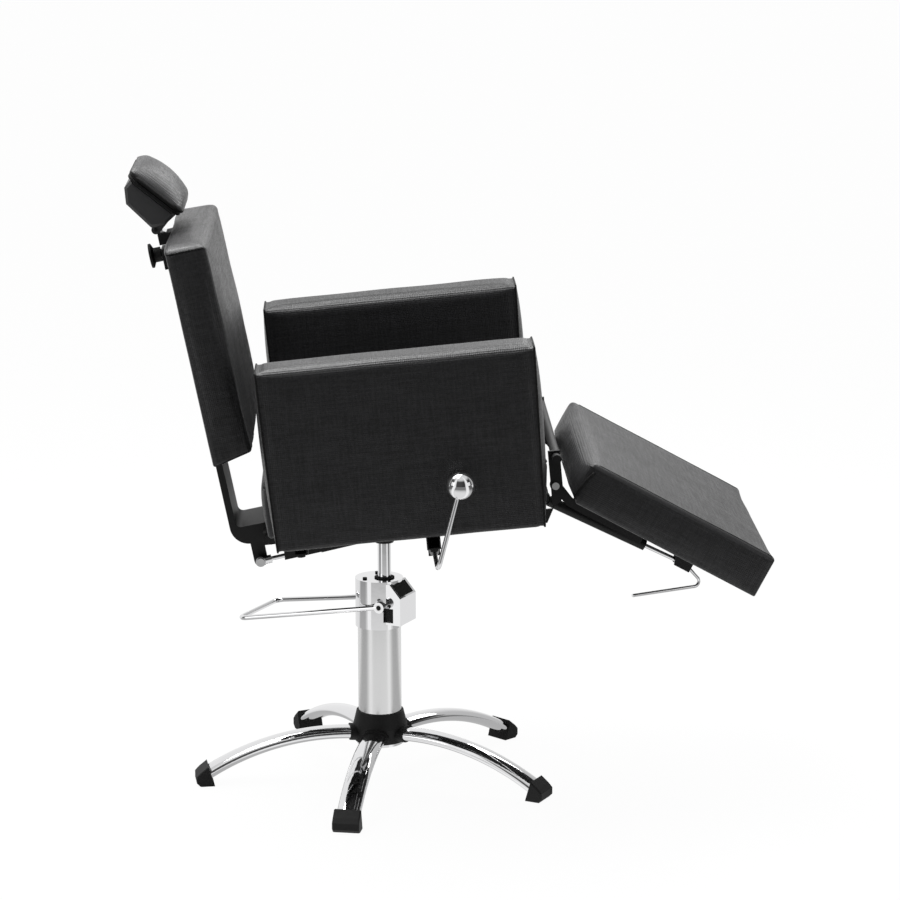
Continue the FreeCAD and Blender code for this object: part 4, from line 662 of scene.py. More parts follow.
@dataclass
class Upholstery:
    """What every padded piece needs: a cover that replaces CAD solids, and seams laid on it."""

    place: Place
    body: str
    unevenness: float = 0.0007
    wrinkle: float = 0.05
    seed: float = 0.0

    def uneven(self, flat: np.ndarray, along: float, run: Run = Run.ACROSS, sign: int = 1) -> np.ndarray:
        """Return how far the cloth stands out at an outline's points; a sign turns the seed round."""
        return self.unevenness * ripple(run.to_space(flat, along), self.wrinkle, self.seed * sign)

    def cover(self, name: str, loft: Loft, fill: float, *nodes: str) -> bpy.types.Object:
        """Make the padded cover and take the CAD solids that it stands for out of sight.

        Args:
            name: The cover's name.
            loft: Its shape.
            fill: The share of the cover that the solids fill; not used.
            nodes: The CAD nodes that it stands for.

        Returns:
            The cover.
        """
        verts, faces = loft.build()
        made = as_object(name, verts, faces, self.place, self.body, Skin.LEATHERETTE)
        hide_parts(*nodes)
        return made

    def seam(self, name: str, cover: bpy.types.Object, path: Iterable[Sequence[float]], radius: float,
             lift: float, closed: bool = False) -> None:
        """Lay a thin round seam or welt on a cover, in the darker welt finish that paints the shade of its
        crease.

        Args:
            name: The seam's name.
            cover: The cover that it lies on.
            path: Points near the cover.
            radius: The seam's radius.
            lift: How far its middle stands out of the cover.
            closed: Whether it runs back to its start.
        """
        points, faces = tube(on_surface(cover, path, lift), radius, closed)
        as_object(name, points, faces, self.place, self.body, Skin.WELT)

    def stitches(self, name: str, cover: bpy.types.Object, path: Sequence[Sequence[float]], length: float,
                 radius: float) -> None:
        """Lay a row of separate stitches along a path on a cover.

        Args:
            name: The row's name.
            cover: The cover that it lies on.
            path: Points near the cover; every second span gets a stitch.
            length: A stitch's length.
            radius: A stitch's radius.
        """
        line = [Vector(tuple(map(float, point))) for point in path]
        rows, sheets, start = [], [], 0
        for before, after in zip(line[::2], line[1::2]):
            along = (after - before).normalized() * length / 2
            middle = (before + after) / 2
            spots = on_surface(cover, (middle - along, middle + along), radius / 2)
            points, faces = tube(spots, radius, False, sides=6)
            rows.append(points)
            sheets.extend(tuple(number + start for number in face) for face in faces)
            start += len(points)
        as_object(name, np.concatenate(rows), sheets, self.place, self.body, Skin.WELT)


@dataclass
class Arm(Upholstery):
    """A padded arm: one wrapped body with a puffed panel and a standing welt at each end."""

    place: Place = Place.SEAT
    body: str = "seat"
    wrinkle: float = 0.045
    seed: float = 1.3
    side: Side = Side.LEFT
    rear: float = -0.188
    front: float = 0.2818
    bottom: float = -0.079
    top: float = 0.229
    inner: float = 0.263
    thickness: float = 0.091
    edge: float = 0.002
    low_corner: tuple[float, float] = (0.004, 0.008)
    top_corner: tuple[float, float] = (0.005, 0.022)
    step: float = 0.0045
    fold: float = 12.0
    fill: float = 0.95
    crown: float = 0.0024
    crown_facing: float = 0.7
    top_crown: float = 0.0050
    dip: float = 0.0018
    dip_place: float = 0.009
    dip_width: float = 0.005
    rear_rake: float = 0.0062
    rear_curve: float = 1.5
    front_rake: float = 0.0092
    rake_power: int = 4
    rake_reach: float = 1.1
    panels: tuple[float, float] = (0.0062, 0.0090)
    welt: float = 0.0017
    welt_inset: float = 0.0022
    welt_sink: float = 0.0006
    welt_lift: float = 0.0004
    horn: float = 0.0009
    horn_reach: float = 0.02

    def outline(self) -> Outline:
        """Return the arm's cross-section across the chair."""
        low, high = sorted(self.side.value * reach for reach in (self.inner, self.inner + self.thickness))
        return Outline(((low, self.bottom, *self.low_corner), (high, self.bottom, *self.low_corner),
                        (high, self.top, *self.top_corner), (low, self.top, *self.top_corner)))

    def swell(self, flat: np.ndarray, normals: np.ndarray, along: float) -> np.ndarray:
        """Crown the sides and the top between the welts, and pinch them beside the welts.

        Args:
            flat: The outline's points.
            normals: Their outward directions.
            along: The outline's place along the arm.

        Returns:
            The moved points.
        """
        length = self.front - self.rear
        ahead = min(abs(2 * along - self.rear - self.front) / length, 1.0)
        up = np.clip((flat[:, 1] - self.bottom) / (self.top - self.bottom), 0, 1)
        level = np.clip(dome(2 * up - 1, 4), 0, 1)
        crown = self.crown * dome(ahead, 8) * level * (np.abs(normals[:, 0]) > self.crown_facing)
        crown = crown + self.top_crown * dome(ahead, 10) * np.clip(normals[:, 1], 0, 1)
        inward = (1 - ahead) * length / 2
        pinch = self.dip * math.exp(-((inward - self.dip_place) / self.dip_width) ** 2)
        uneven = self.uneven(flat, along, Run.AHEAD, self.side.value)
        return flat + normals * (crown - pinch + uneven)[:, None]

    def rake(self, points: np.ndarray) -> np.ndarray:
        """Draw both ends in towards the bottom, as the welts run.

        Args:
            points: Points of the arm or of a welt.

        Returns:
            The moved points.
        """
        middle, half = (self.rear + self.front) / 2, (self.front - self.rear) / 2
        down = 1 - np.clip((points[:, 2] - self.bottom) / (self.top - self.bottom), 0, 1)
        share = np.clip((points[:, 0] - middle) / half, -self.rake_reach, self.rake_reach)
        moved = points.copy()
        moved[:, 0] -= self.front_rake * down * np.maximum(share, 0) ** self.rake_power
        moved[:, 0] += self.rear_rake * down ** self.rear_curve * np.minimum(share, 0) ** self.rake_power
        return moved

    def build(self) -> None:
        """Make the arm and its two welts."""
        node = f"arm_{self.side.label()}"
        loft = Loft(self.outline(), self.rear, self.front, self.edge, self.panels, Run.AHEAD, self.step,
                    fold=self.fold, swell=self.swell, bend=self.rake)
        self.cover(f"{node}_cover", loft, self.fill, node)
        flat = self.outline().at(self.welt_sink)
        outward = outline_normals(flat)
        high = np.clip((flat[:, 1] - (self.top - self.horn_reach)) / self.horn_reach, 0, 1)
        turn = np.abs(outward[:, 0]) * np.abs(outward[:, 1]) * 2
        flat = flat + outward * (self.welt_lift + self.horn * high * turn)[:, None]
        for label, line in (("rear", self.rear + self.welt_inset), ("front", self.front - self.welt_inset)):
            points, faces = tube(self.rake(Run.AHEAD.to_space(flat, line)), self.welt, True)
            as_object(f"{node}_{label}_welt", points, faces, self.place, self.body, Skin.WELT)


@dataclass
class SeatCushion(Upholstery):
    """The seat cushion with its board wrapped inside, a crowned top and a welt round the top."""

    place: Place = Place.SEAT
    body: str = "seat"
    unevenness: float = 0.0009
    wrinkle: float = 0.06
    seed: float = 0.4
    rear: float = -0.198
    front: float = 0.289
    front_recess: float = 0.010
    bottom: float = -0.079
    top: float = 0.025
    half: float = 0.260
    edge: float = 0.016
    low_corner: tuple[float, float] = (0.005, 0.006)
    top_corner: tuple[float, float] = (0.010, 0.022)
    step: float = 0.008
    fill: float = 0.85
    crown: float = 0.012
    rear_puff: float = 0.009
    welt: float = 0.0025
    welt_corner: float = 0.02
    welt_inset: float = 0.004
    welt_drop: float = 0.006
    welt_lift: float = 0.001

    def swell(self, flat: np.ndarray, normals: np.ndarray, along: float) -> np.ndarray:
        """Crown the top, and puff the rear between the corners.

        Args:
            flat: The outline's points.
            normals: Their outward directions.
            along: The outline's place across the chair.

        Returns:
            The moved points.
        """
        ahead = np.clip((2 * flat[:, 0] - self.rear - self.front) / (self.front - self.rear), -1, 1)
        across = abs(along) / self.half
        lift = self.crown * dome(ahead, 2.6) * dome(min(across, 1.0), 3)
        low = np.clip((self.top - flat[:, 1]) / (self.top - self.bottom), 0, 1)
        out = flat.copy()
        out[:, 1] += (lift + self.uneven(flat, along)) * np.clip(normals[:, 1], 0, 1)
        out[:, 0] -= self.rear_puff * np.clip(-normals[:, 0], 0, 1) * dome(2 * low - 1, 2) * dome(across, 6)
        return out

    def build(self) -> None:
        """Make the cushion and its welt."""
        base = self.top - self.crown
        outline = Outline(((self.rear, self.bottom, *self.low_corner),
                           (self.front - self.front_recess, self.bottom, *self.low_corner),
                           (self.front, base, *self.top_corner), (self.rear, base, *self.top_corner)))
        loft = Loft(outline, -self.half, self.half, self.edge, step=self.step, swell=self.swell)
        cover = self.cover("seat_cushion_cover", loft, self.fill, "seat_cushion", "seat_board")
        ring = Outline.rectangle((self.rear, -self.half), (self.front, self.half),
                                 self.welt_corner).at(self.welt_inset)
        self.seam("seat_cushion_welt", cover, [(x, y, base - self.welt_drop) for x, y in ring], self.welt,
                  self.welt_lift, True)


@dataclass
class BackCushion(Upholstery):
    """The back: foam and board in one wrapped block, gathered at its corners, seamed at the top."""

    place: Place = Place.BACK
    body: str = "back"
    seed: float = 2.2
    rear: float = -0.0573
    face: float = 0.0110
    bottom: float = 0.1740
    rise: float = 0.015
    top: float = 0.550
    top_recess: float = 0.001
    half: float = 0.2454
    edge: float = 0.009
    low_rear_corner: tuple[float, float] = (0.003, 0.006)
    low_face_corner: tuple[float, float] = (0.005, 0.016)
    top_face_corner: tuple[float, float] = (0.005, 0.026)
    top_rear_corner: tuple[float, float] = (0.003, 0.010)
    fold: float = 7.0
    fill: float = 0.92
    end_puff: float = 0.0045
    face_crown: float = 0.0082
    top_crown: float = 0.0085
    rear_top_crown: float = 0.0035
    rear_swell: float = 0.0018
    rear_swell_shares: tuple[float, float] = (0.35, 0.25)  # where it starts, and over what it grows
    gather_fade: float = 0.022
    pleat: float = 0.0016
    pleat_pitch: float = 0.019
    pleats_from: float = 0.55
    pleats_facing: float = 0.2
    calm: float = 0.3  # the share of the unevenness that is left away from the face
    seam_margin: float = 0.002
    seam_spans: int = 24
    seam_radius: float = 0.0015
    seam_sink: float = 0.0002
    seam_inset_share: float = 0.2  # of the edge's radius, from the end and from the top
    seam_drop_share: float = 0.3
    stitch_length: float = 0.0048
    stitch_radius: float = 0.0013
    low_seam_radius: float = 0.0009
    low_seam_rise: float = 0.001
    low_seam_lift: float = 0.0001

    def swell(self, flat: np.ndarray, normals: np.ndarray, along: float) -> np.ndarray:
        """Crown the face and the top, and gather the cloth towards the bottom corners.

        Args:
            flat: The outline's points.
            normals: Their outward directions.
            along: The outline's place across the chair.

        Returns:
            The moved points.
        """
        up = np.clip((2 * flat[:, 1] - self.bottom - self.top) / (self.top - self.bottom), -1, 1)
        across = min(abs(along) / self.half, 1.0)
        front, high = np.clip(normals[:, 0], 0, 1), np.clip(normals[:, 1], 0, 1)
        rear = np.clip((self.face - flat[:, 0]) / (self.face - self.rear), 0, 1)
        lift = self.face_crown * dome(up, 3) * dome(across, 5) * front
        lift += (self.top_crown + self.rear_top_crown * rear) * dome(across, 12) * high
        start, growth = self.rear_swell_shares
        lift += self.rear_swell * np.clip((across - start) / growth, 0, 1) * np.clip(-normals[:, 0], 0, 1)
        gather = np.exp(-np.maximum(flat[:, 1] - self.bottom - self.rise, 0) / self.gather_fade)
        pleats = self.pleat * np.sin(along * math.tau / self.pleat_pitch) * gather
        pleats = pleats * (across > self.pleats_from) * (normals[:, 0] > self.pleats_facing)
        uneven = self.uneven(flat, along) * (self.calm + front)
        return flat + normals * (lift + pleats + uneven)[:, None]

    def build(self) -> None:
        """Make the back, its corner seams and its stitches."""
        outline = Outline(((self.rear, self.bottom, *self.low_rear_corner),
                           (self.face, self.bottom + self.rise, *self.low_face_corner),
                           (self.face - self.top_recess, self.top, *self.top_face_corner),
                           (self.rear, self.top, *self.top_rear_corner)))
        loft = Loft(outline, -self.half, self.half, self.edge, (self.end_puff, self.end_puff),
                    fold=self.fold, swell=self.swell)
        cover = self.cover("back_cover", loft, self.fill, "back_cushion", "back_board")
        reach = self.face - self.rear - 2 * self.seam_margin
        spans = range(self.seam_spans + 1)
        line = [self.rear + self.seam_margin + reach * k / self.seam_spans for k in spans]
        for side in Side:
            edge = side.value * (self.half - self.edge * self.seam_inset_share)
            top = [(x, edge, self.top - self.edge * self.seam_drop_share) for x in line]
            self.seam(f"back_seam_{side.label()}", cover, top, self.seam_radius, -self.seam_sink)
            self.stitches(f"back_stitches_{side.label()}", cover, top, self.stitch_length,
                          self.stitch_radius)
            low = [(x, edge, self.bottom + self.low_seam_rise + self.rise * k / self.seam_spans)
                   for k, x in zip(spans, line)]
            self.seam(f"back_low_seam_{side.label()}", cover, low, self.low_seam_radius,
                      self.low_seam_lift)


@dataclass
class RestCushion(Upholstery):
    """The leg rest: foam and board in one wrapped block, rolled over at the hinge end."""

    place: Place = Place.REST
    body: str = "leg_rest"
    seed: float = 3.1
    length: float = 0.362
    low_overhang: float = 0.001
    thickness: float = 0.0745
    chamfer: float = 0.012
    half: float = 0.2688
    edge: float = 0.011
    rise: float = 0.0018
    low_hinge_corner: tuple[float, float] = (0.003, 0.004)
    low_foot_corner: tuple[float, float] = (0.003, 0.006)
    top_foot_corner: tuple[float, float] = (0.004, 0.014)
    top_hinge_corner: tuple[float, float] = (0.005, 0.024)
    fold: float = 7.0
    fill: float = 0.93
    end_puff: float = 0.0035
    crown: float = 0.0042
    hinge_puff: float = 0.0080
    even_facing: float = -0.5
    seam_radius: float = 0.0010
    seam_inset: float = 0.009
    seam_start: float = 0.016
    seam_end_gap: float = 0.006
    seam_height: float = 0.02
    seam_sink: float = 0.0002
    seam_spans: int = 48
    slit_radius: float = 0.0030
    slit_start: float = 0.0025
    slit_bow: float = 0.010
    slit_inset: float = 0.002
    slit_rise: float = 0.005
    slit_drop: float = 0.011
    slit_lift: float = 0.0004
    slit_spans: int = 12

    def swell(self, flat: np.ndarray, normals: np.ndarray, along: float) -> np.ndarray:
        """Crown the top and puff the hinge end.

        Args:
            flat: The outline's points.
            normals: Their outward directions.
            along: The outline's place across the chair.

        Returns:
            The moved points.
        """
        ahead = np.clip(2 * flat[:, 0] / self.length - 1, -1, 1)
        across = min(abs(along) / self.half, 1.0)
        low = np.clip(-flat[:, 1] / self.thickness, 0, 1)
        lift = self.crown * dome(ahead, 3) * dome(across, 4) * np.clip(normals[:, 1], 0, 1)
        lift += self.hinge_puff * dome(2 * low - 1, 2) * dome(across, 6) * np.clip(-normals[:, 0], 0, 1)
        uneven = self.uneven(flat, along) * (normals[:, 1] > self.even_facing)
        return flat + normals * (lift + uneven)[:, None]

    def build(self) -> None:
        """Make the leg rest with its seams, and a dark tube of painted shade along the slit beside each
        hinge.
        """
        outline = Outline(((0.0, self.chamfer - self.thickness, *self.low_hinge_corner),
                           (self.chamfer, -self.thickness, *self.low_hinge_corner),
                           (self.length + self.low_overhang, -self.thickness, *self.low_foot_corner),
                           (self.length, self.rise, *self.top_foot_corner),
                           (0.0, self.rise, *self.top_hinge_corner)))
        loft = Loft(outline, -self.half, self.half, self.edge, (self.end_puff, self.end_puff),
                    fold=self.fold, swell=self.swell)
        cover = self.cover("rest_cover", loft, self.fill, "rest_cushion", "rest_board")
        reach = self.length - self.seam_start - self.seam_end_gap
        tall = self.thickness - self.slit_rise - self.slit_drop
        for side in Side:
            edge = side.value * (self.half - self.seam_inset)
            line = [(self.seam_start + reach * k / self.seam_spans, edge, self.seam_height)
                    for k in range(self.seam_spans + 1)]
            self.seam(f"rest_seam_{side.label()}", cover, line, self.seam_radius, -self.seam_sink)
            # A dark tube along each hinge slit: painted shade of the gap, not a part.
            shares = [k / self.slit_spans for k in range(self.slit_spans + 1)]
            slit = [(self.slit_start + self.slit_bow * share ** 2,
                     side.value * (self.half - self.slit_inset + self.slit_inset * share),
                     -self.thickness + self.slit_rise + tall * share) for share in shares]
            self.seam(f"rest_slit_{side.label()}", cover, slit, self.slit_radius, self.slit_lift)


@dataclass
class Headrest(Upholstery):
    """The headrest: a faceted moulded shell, two piping bands and a crowned pad."""

    place: Place = Place.HEAD
    body: str = "headrest"
    unevenness: float = 0.0004
    wrinkle: float = 0.03
    seed: float = 5.0
    pad_rear: float = -0.1000
    pad_length: float = 0.1180
    base: float = 0.0523
    foot: float = 0.0625
    wall: float = 0.0800
    wall_recess: float = 0.011
    rear_recess: float = 0.001
    foot_corner: tuple[float, float] = (0.005, 0.006)
    wall_corner: tuple[float, float] = (0.010, 0.013)
    crown: float = 0.0155
    lean: float = 0.0040
    end_height: float = 0.0030
    pillow_powers: tuple[float, float] = (2.3, 0.75)
    half: float = 0.095
    edge: float = 0.010
    step: float = 0.004
    turns: int = 6
    fold: float = 2.0
    fill: float = 0.9
    piping: float = 0.0038
    piping_sides: int = 12
    piping_rows: tuple[tuple[float, float], ...] = ((0.0026, 0.0022), (0.0094, 0.0002))  # rise, inset
    piping_margins: tuple[float, float] = (0.004, 0.006)  # at the rear and at the front
    piping_corner: float = 0.022
    piping_step: float = 0.005
    shell_half: float = 0.0892
    shell_bevel: float = 0.005
    shell_corner: float = 0.0008
    shell_step: float = 0.05
    shell_lap: float = 0.001
    shell_rear: float = -0.0900
    shell_points: tuple[tuple[float, float], ...] = (
        (-0.0705, 0.0135), (-0.0115, 0.0078), (0.0040, 0.0270))
    shell_rear_height: float = 0.0340
    shell_front: float = 0.0082
    facet_angle: float = 12.0

    def swell(self, flat: np.ndarray, normals: np.ndarray, along: float) -> np.ndarray:
        """Crown the pad's top, and lower it towards both ends like a pillow.

        Args:
            flat: The outline's points.
            normals: Their outward directions.
            along: The outline's place across the chair.

        Returns:
            The moved points.
        """
        ahead = np.clip((2 * flat[:, 0] - 2 * self.pad_rear - self.pad_length) / self.pad_length, -1, 1)
        low, high = flat[:, 1].min(), flat[:, 1].max()
        share = (flat[:, 1] - low) / (high - low)
        top = self.wall - self.foot + self.crown * dome(ahead, 2) - self.lean * ahead
        inner, outer = self.pillow_powers
        drop = max(0.0, dome(min(abs(along) / self.half, 1.0), inner)) ** outer
        out = flat.copy()
        out[:, 1] = self.foot + share * (self.end_height + (top - self.end_height) * drop)
        return out + normals * self.uneven(flat, along)[:, None]

    def build(self) -> None:
        """Make the pad with its piping, and the shell."""
        front = self.pad_rear + self.pad_length
        outline = Outline(((self.pad_rear, self.foot, *self.foot_corner),
                           (front, self.foot, *self.foot_corner),
                           (front - self.wall_recess, self.wall, *self.wall_corner),
                           (self.pad_rear + self.rear_recess, self.wall, *self.wall_corner)), self.step)
        loft = Loft(outline, -self.half, self.half, self.edge, step=self.step, turns=self.turns,
                    fold=self.fold, swell=self.swell)
        self.cover("headrest_pad_cover", loft, self.fill, "headrest_pad")
        rear, ahead = self.pad_rear + self.piping_margins[0], front - self.piping_margins[1]
        band_outline = Outline.rectangle((rear, -self.half), (ahead, self.half), self.piping_corner,
                                         self.piping_step)
        for number, (rise, inset) in enumerate(self.piping_rows, 1):
            path = [(x, y, self.base + rise) for x, y in band_outline.at(inset)]
            points, faces = tube(path, self.piping, True, self.piping_sides)
            as_object(f"headrest_piping_{number}", points, faces, self.place, self.body, Skin.WELT)
        rim = self.base + self.shell_lap
        corners = ((self.shell_rear, self.shell_rear_height), *self.shell_points,
                   (self.shell_front, rim), (self.shell_rear, rim))
        shell = Outline(tuple((x, z, self.shell_corner, self.shell_corner) for x, z in corners),
                        self.shell_step, turns=1)
        loft = Loft(shell, -self.shell_half, self.shell_half, self.shell_bevel, step=self.shell_step,
                    turns=1, rings=2)
        verts, faces = loft.build()
        as_object("headrest_shell_cover", verts, faces, self.place, self.body, Skin.MOULDED,
                  self.facet_angle)


@dataclass
class PumpSlot:
    """The black insert in the pump head's slot, and a matt black disc of painted shade in the bore at the
    pedal's near end.
    """

    left: float = 0.0264
    right: float = 0.0436
    bottom: float = 0.2964
    top: float = 0.3216
    corner: float = 0.002
    face: float = -0.0272
    depth: float = 0.0014
    edge: float = 0.0004
    bore_radius: float = 0.0044
    bore_depth: float = 0.0008
    bore_spot: tuple[float, float, float] = (0.025, -0.0511, 0.327)
    bore_sides: int = 24
    sharp_angle: float = 30.0

    def build(self) -> None:
        """Make the insert, and the disc that paints the shade in the bore."""
        outline = Outline.rectangle((self.left, self.bottom), (self.right, self.top), self.corner)
        verts, faces = Loft(outline, self.face - self.depth, self.face, self.edge, turns=2, rings=2).build()
        as_object("head_slot_insert", verts, faces, Place.PUMP, "base", Skin.MATT, self.sharp_angle)
        # A thin matt black disc inside the pedal's bore: painted shade of the hole.
        x, y, z = self.bore_spot
        path = [(x, y + self.bore_depth * share, z) for share in (-0.5, 0.5)]
        points, faces = tube(path, self.bore_radius, False, self.bore_sides)
        as_object("pedal_end_bore_shade", points, faces, Place.PUMP, "pedal", Skin.MATT, self.sharp_angle)


# Hard parts

CAD_SKINS: dict[Skin, tuple[str, ...]] = {
    Skin.CHROME: ("star_hub", *(f"star_leg_{number}" for number in range(1, 6)), "pump_head", "lift_ram",
                  "foot_pedal", "ball_stud", "headrest_stem", "spring_rod", "strut_rod", "lever_bar",
                  "lever_ball", "release_wire", "spring_pins"),
    Skin.SATIN: ("pump_column", "pump_barrel", "ram_piston", "pedal_axle", "leg_rest_pins"),
    Skin.COATED: ("head_screws", "seat_mount", "frame_rail_right", "frame_rail_left", "cross_rail_rear",
                  "cross_rail_middle", "cross_rail_front", "leg_upright_right", "leg_upright_left",
                  "front_tube", "strut_bracket", "spring_channel", "spring_ears", "lever_bracket",
                  "back_bracket", "headrest_guide", "spring_tube", "rest_frame", "release_head",
                  "strut_tube", "arm_bolts", "recline_pin", "tilt_pin"),
    Skin.MOULDED: ("headrest_shell",),
    Skin.MATT: ("leg_caps", "hub_cover", "head_window", "guide_knob"),
    Skin.PLYWOOD: ("seat_board", "back_board", "rest_board"),
    Skin.RUBBER: ("ram_wiper",),
    Skin.LEATHERETTE: ("seat_cushion", "back_cushion", "rest_cushion", "arm_right", "arm_left",
                       "headrest_pad"),
}
SOFTENED: dict[str, float] = {
    "pump_head": 0.0022, "leg_caps": 0.0025, "hub_cover": 0.0012, "back_bracket": 0.0012,
    "headrest_guide": 0.0015, "ball_stud": 0.004, "leg_rest_pins": 0.002, "front_tube": 0.002,
    "release_head": 0.001, "head_window": 0.0004, "rest_frame": 0.0008, "leg_upright_right": 0.0008,
    "leg_upright_left": 0.0008, "headrest_shell": 0.001}


@dataclass
class MetalWork:
    """The carried-over parts: each gets its finish, and some get softened edges."""

    edge_angle: float = 32.0
    bevel_segments: int = 3

    def dress(self) -> None:
        """Finish every carried-over node."""
        for skin, names in CAD_SKINS.items():
            for name in names:
                self.finish_node(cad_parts[name], name, skin)

    def finish_node(self, item: bpy.types.Object, name: str, skin: Skin) -> None:
        """Give one node its material and its softened edges.

        Args:
            item: The node's object.
            name: The node's name.
            skin: Its finish.
        """
        item.data.materials.clear()
        item.data.materials.append(skin.material())
        if name in SOFTENED:
            bevel = item.modifiers.new("soft_edges", "BEVEL")
            bevel.width = SOFTENED[name]
            bevel.segments = self.bevel_segments
            bevel.limit_method = "ANGLE"
            bevel.angle_limit = math.radians(self.edge_angle)


# Studio

@dataclass(frozen=True)
class Edge:
    """The soft edge of a studio panel: where it starts and ends, and the light at each side."""

    start: float
    end: float
    before: float
    after: float

    def light(self, tree: bpy.types.NodeTree, place: bpy.types.NodeSocket) -> bpy.types.NodeSocket:
        """Return the light at a place that is measured across the edge.

        Args:
            tree: The node tree.
            place: The socket with the place.

        Returns:
            The socket with the light.
        """
        return add_node(tree, "ShaderNodeMapRange", {
            "interpolation_type": "SMOOTHSTEP", "From Min": self.start, "From Max": self.end,
            "To Min": self.before, "To Max": self.after}, {"Value": place}).outputs["Result"]


@dataclass(frozen=True)
class Lamp:
    """A square soft lamp: its place, what it faces, its width and its power in watts."""

    name: str
    spot: tuple[float, float, float]
    aim: tuple[float, float, float]
    width: float
    power: float

    def hang(self) -> None:
        """Hang the lamp, out of the camera's sight."""
        data = bpy.data.lights.new(self.name, "AREA")
        data.size = self.width
        data.energy = self.power
        made = bpy.data.objects.new(self.name, data)
        bpy.context.scene.collection.objects.link(made)
        made.location = self.spot
        made.visible_camera = False
        made.rotation_euler = (Vector(self.aim) - Vector(self.spot)).to_track_quat("-Z", "Y").to_euler()


@dataclass
class Studio:
    """A plain pale floor, soft lights, and the camera where the photograph was taken."""

    eye: tuple[float, float, float] = (-0.0417, -5.6543, 1.8474)
    azimuth: float = -1.72
    elevation: float = 12.42
    roll: float = -0.17
    lens: float = 130.166
    sensor: float = 36.0
    floor_reach: float = 30.0
    floor_colour: str = "#f0f0f0"
    camera_share: float = 0.96  # how white the camera sees the floor, under the lamps' shadow
    floor_near: Edge = Edge(0.8, 2.2, 0.90, 0.24)  # by the distance from the chair's foot
    floor_behind: Edge = Edge(0.0, 0.5, 0.0, 0.92)  # by Y
    floor_beside: Edge = Edge(1.5, 3.0, 1.0, 0.6)  # by the side slope
    floor_panels: float = 1.1
    backdrop: Edge = Edge(-0.1, 0.35, 0.07, 0.98)  # by Y
    backdrop_front: Edge = Edge(0.0, 0.5, 1.0, 0.62)  # by X, towards the chair's front
    ceiling: Edge = Edge(0.55, 0.85, 0.0, 0.80)  # by Z
    world_panels: float = 1.05
    panel_opens: Edge = Edge(0.6, 0.9, 0.0, 1.0)  # by the side slope
    panel_closes: Edge = Edge(1.45, 2.05, 1.0, 0.0)
    least_ahead: float = 0.001  # keeps the side slope finite
    lamps: tuple[Lamp, ...] = (
        Lamp("top", (-0.5, 0.2, 2.6), (-0.2, 0.0, 0.7), 1.8, 84.0),
        Lamp("key", (1.1, 1.9, 2.6), (-0.4, 0.0, 1.0), 1.2, 34.0),
        Lamp("left", (-2.8, -1.6, 1.5), (0.0, 0.0, 0.5), 1.4, 6.0),
        Lamp("right", (3.0, -1.4, 1.3), (0.1, 0.0, 0.5), 1.2, 4.0))

    def build(self) -> None:
        """Make the camera, the floor, the world and the lamps."""
        self.camera()
        self.floor()
        self.world()
        for lamp in self.lamps:
            lamp.hang()

    def camera(self) -> None:
        """Stand the camera at the measured place."""
        turn, lift, roll = (math.radians(value) for value in (self.azimuth, self.elevation, self.roll))
        back = Vector((math.sin(turn) * math.cos(lift), -math.cos(turn) * math.cos(lift), math.sin(lift)))
        right = (-back).cross(Vector((0, 0, 1))).normalized()
        up = right.cross(-back)
        side = right * math.cos(roll) + up * math.sin(roll)
        top = up * math.cos(roll) - right * math.sin(roll)
        data = bpy.data.cameras.new("camera")
        data.sensor_width = self.sensor
        data.lens = self.lens
        made = bpy.data.objects.new("camera", data)
        bpy.context.scene.collection.objects.link(made)
        made.matrix_world = Matrix((
            (side.x, top.x, back.x, self.eye[0]), (side.y, top.y, back.y, self.eye[1]),
            (side.z, top.z, back.z, self.eye[2]), (0, 0, 0, 1)))
        bpy.context.scene.camera = made

    def floor(self) -> None:
        """Lay a white floor: white to the camera with a light shadow, and darker far off in mirrors."""
        mesh = bpy.data.meshes.new("floor")
        reach = self.floor_reach
        mesh.from_pydata([(-reach, -reach, 0), (reach, -reach, 0), (reach, reach, 0), (-reach, reach, 0)],
                         [], [(0, 1, 2, 3)])
        made = bpy.data.objects.new("floor", mesh)
        bpy.context.scene.collection.objects.link(made)
        paint = bpy.data.materials.new("floor_paint")
        paint.use_nodes = True
        tree = paint.node_tree
        tree.nodes.clear()
        spot = add_node(tree, "ShaderNodeNewGeometry").outputs["Position"]
        parts = add_node(tree, "ShaderNodeSeparateXYZ", {}, {0: spot})
        far = add_node(tree, "ShaderNodeVectorMath", {"operation": "LENGTH"}, {0: spot})
        near = add_node(tree, "ShaderNodeMath", {"operation": "MULTIPLY"}, {
            0: self.floor_near.light(tree, far.outputs["Value"]),
            1: self.floor_beside.light(tree, self.side_slope(tree, parts))})
        mirrored = self.brightest(tree, near.outputs[0], self.side_panels(tree, parts, self.floor_panels),
                                  self.floor_behind.light(tree, parts.outputs["Y"]))
        light_path = add_node(tree, "ShaderNodeLightPath")
        seen = add_node(tree, "ShaderNodeMath", {"operation": "MULTIPLY", 1: self.camera_share},
                        {0: light_path.outputs["Is Camera Ray"]})
        matt = add_node(tree, "ShaderNodeBsdfDiffuse", {"Color": srgb(self.floor_colour)})
        glow = add_node(tree, "ShaderNodeEmission", {"Color": (1, 1, 1, 1), "Strength": 1.0})
        dimmed = add_node(tree, "ShaderNodeEmission", {"Color": (1, 1, 1, 1)}, {"Strength": mirrored})
        plain = add_node(tree, "ShaderNodeMixShader", {},
                         {0: seen.outputs[0], 1: matt.outputs[0], 2: glow.outputs[0]})
        mixed = add_node(tree, "ShaderNodeMixShader", {}, {0: light_path.outputs["Is Glossy Ray"],
                                                           1: plain.outputs[0], 2: dimmed.outputs[0]})
        add_node(tree, "ShaderNodeOutputMaterial", {}, {"Surface": mixed.outputs[0]})
        mesh.materials.append(paint)

    def brightest(self, tree: bpy.types.NodeTree, *lights: bpy.types.NodeSocket) -> bpy.types.NodeSocket:
        """Return the brightest of several lights."""
        return reduce(lambda one, other: add_node(
            tree, "ShaderNodeMath", {"operation": "MAXIMUM"}, {0: one, 1: other}).outputs[0], lights)

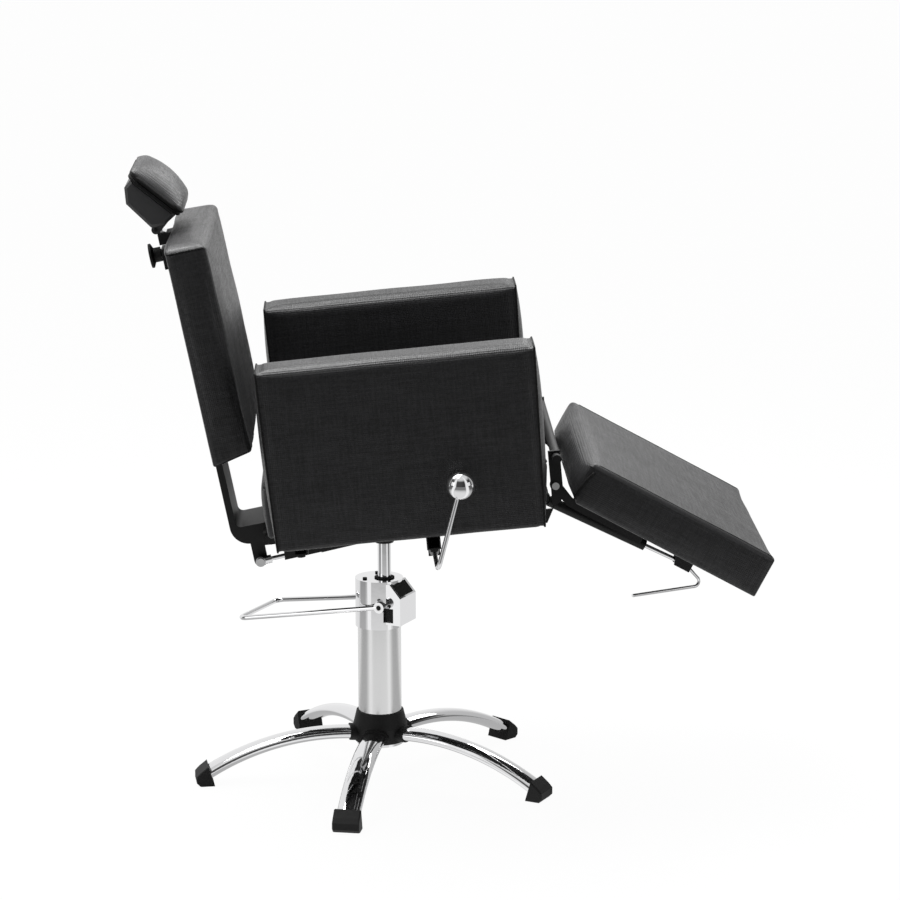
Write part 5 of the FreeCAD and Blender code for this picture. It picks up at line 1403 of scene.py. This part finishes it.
    def side_slope(self, tree: bpy.types.NodeTree, parts: bpy.types.Node) -> bpy.types.NodeSocket:
        """Return how far a direction or a place lies to the side, as a share of how far ahead.

        Args:
            tree: The node tree.
            parts: The node that gives a direction's or a place's X, Y and Z.

        Returns:
            The socket with the share.
        """
        across = add_node(tree, "ShaderNodeMath", {"operation": "ABSOLUTE"}, {0: parts.outputs["X"]})
        toward = add_node(tree, "ShaderNodeMath", {"operation": "MULTIPLY", 1: -1.0},
                          {0: parts.outputs["Y"]})
        held = add_node(tree, "ShaderNodeMath", {"operation": "MAXIMUM", 1: self.least_ahead},
                        {0: toward.outputs[0]})
        return add_node(tree, "ShaderNodeMath", {"operation": "DIVIDE"},
                        {0: across.outputs[0], 1: held.outputs[0]}).outputs[0]

    def side_panels(self, tree: bpy.types.NodeTree, parts: bpy.types.Node,
                    level: float) -> bpy.types.NodeSocket:
        """Return the light of the panels that stand at both sides of the camera.

        Args:
            tree: The node tree.
            parts: The node that gives a direction's or a place's X, Y and Z.
            level: The panels' light.

        Returns:
            The socket with the light, 0 between and beside the panels.
        """
        slope = self.side_slope(tree, parts)
        opened = replace(self.panel_opens, after=level).light(tree, slope)
        closed = self.panel_closes.light(tree, slope)
        lit = add_node(tree, "ShaderNodeMath", {"operation": "MULTIPLY"}, {0: opened, 1: closed})
        return lit.outputs[0]

    def world(self) -> None:
        """Light the room: a white backdrop behind, panels above and beside, and dark by the camera."""
        world = bpy.data.worlds.new("studio")
        bpy.context.scene.world = world
        world.use_nodes = True
        tree = world.node_tree
        tree.nodes.clear()
        place = add_node(tree, "ShaderNodeTexCoord")
        parts = add_node(tree, "ShaderNodeSeparateXYZ", {}, {0: place.outputs["Generated"]})
        behind = add_node(tree, "ShaderNodeMath", {"operation": "MULTIPLY"}, {
            0: self.backdrop.light(tree, parts.outputs["Y"]),
            1: self.backdrop_front.light(tree, parts.outputs["X"])})
        light_path = add_node(tree, "ShaderNodeLightPath")
        level = self.brightest(tree, behind.outputs[0], self.ceiling.light(tree, parts.outputs["Z"]),
                               self.side_panels(tree, parts, self.world_panels),
                               light_path.outputs["Is Camera Ray"])
        back = add_node(tree, "ShaderNodeBackground", {"Color": (1, 1, 1, 1)}, {"Strength": level})
        add_node(tree, "ShaderNodeOutputWorld", {}, {"Surface": back.outputs[0]})


def main() -> None:
    """Build the studio and the chair's looks."""
    logging.basicConfig(level=logging.INFO, format="%(message)s")
    bpy.context.scene.view_settings.view_transform = "Standard"
    Studio().build()
    MetalWork().dress()
    for side in Side:
        Arm(side=side).build()
    for sub_assembly in (SeatCushion(), BackCushion(), RestCushion(), Headrest(), PumpSlot()):
        sub_assembly.build()


if __name__ == "__main__":
    main()
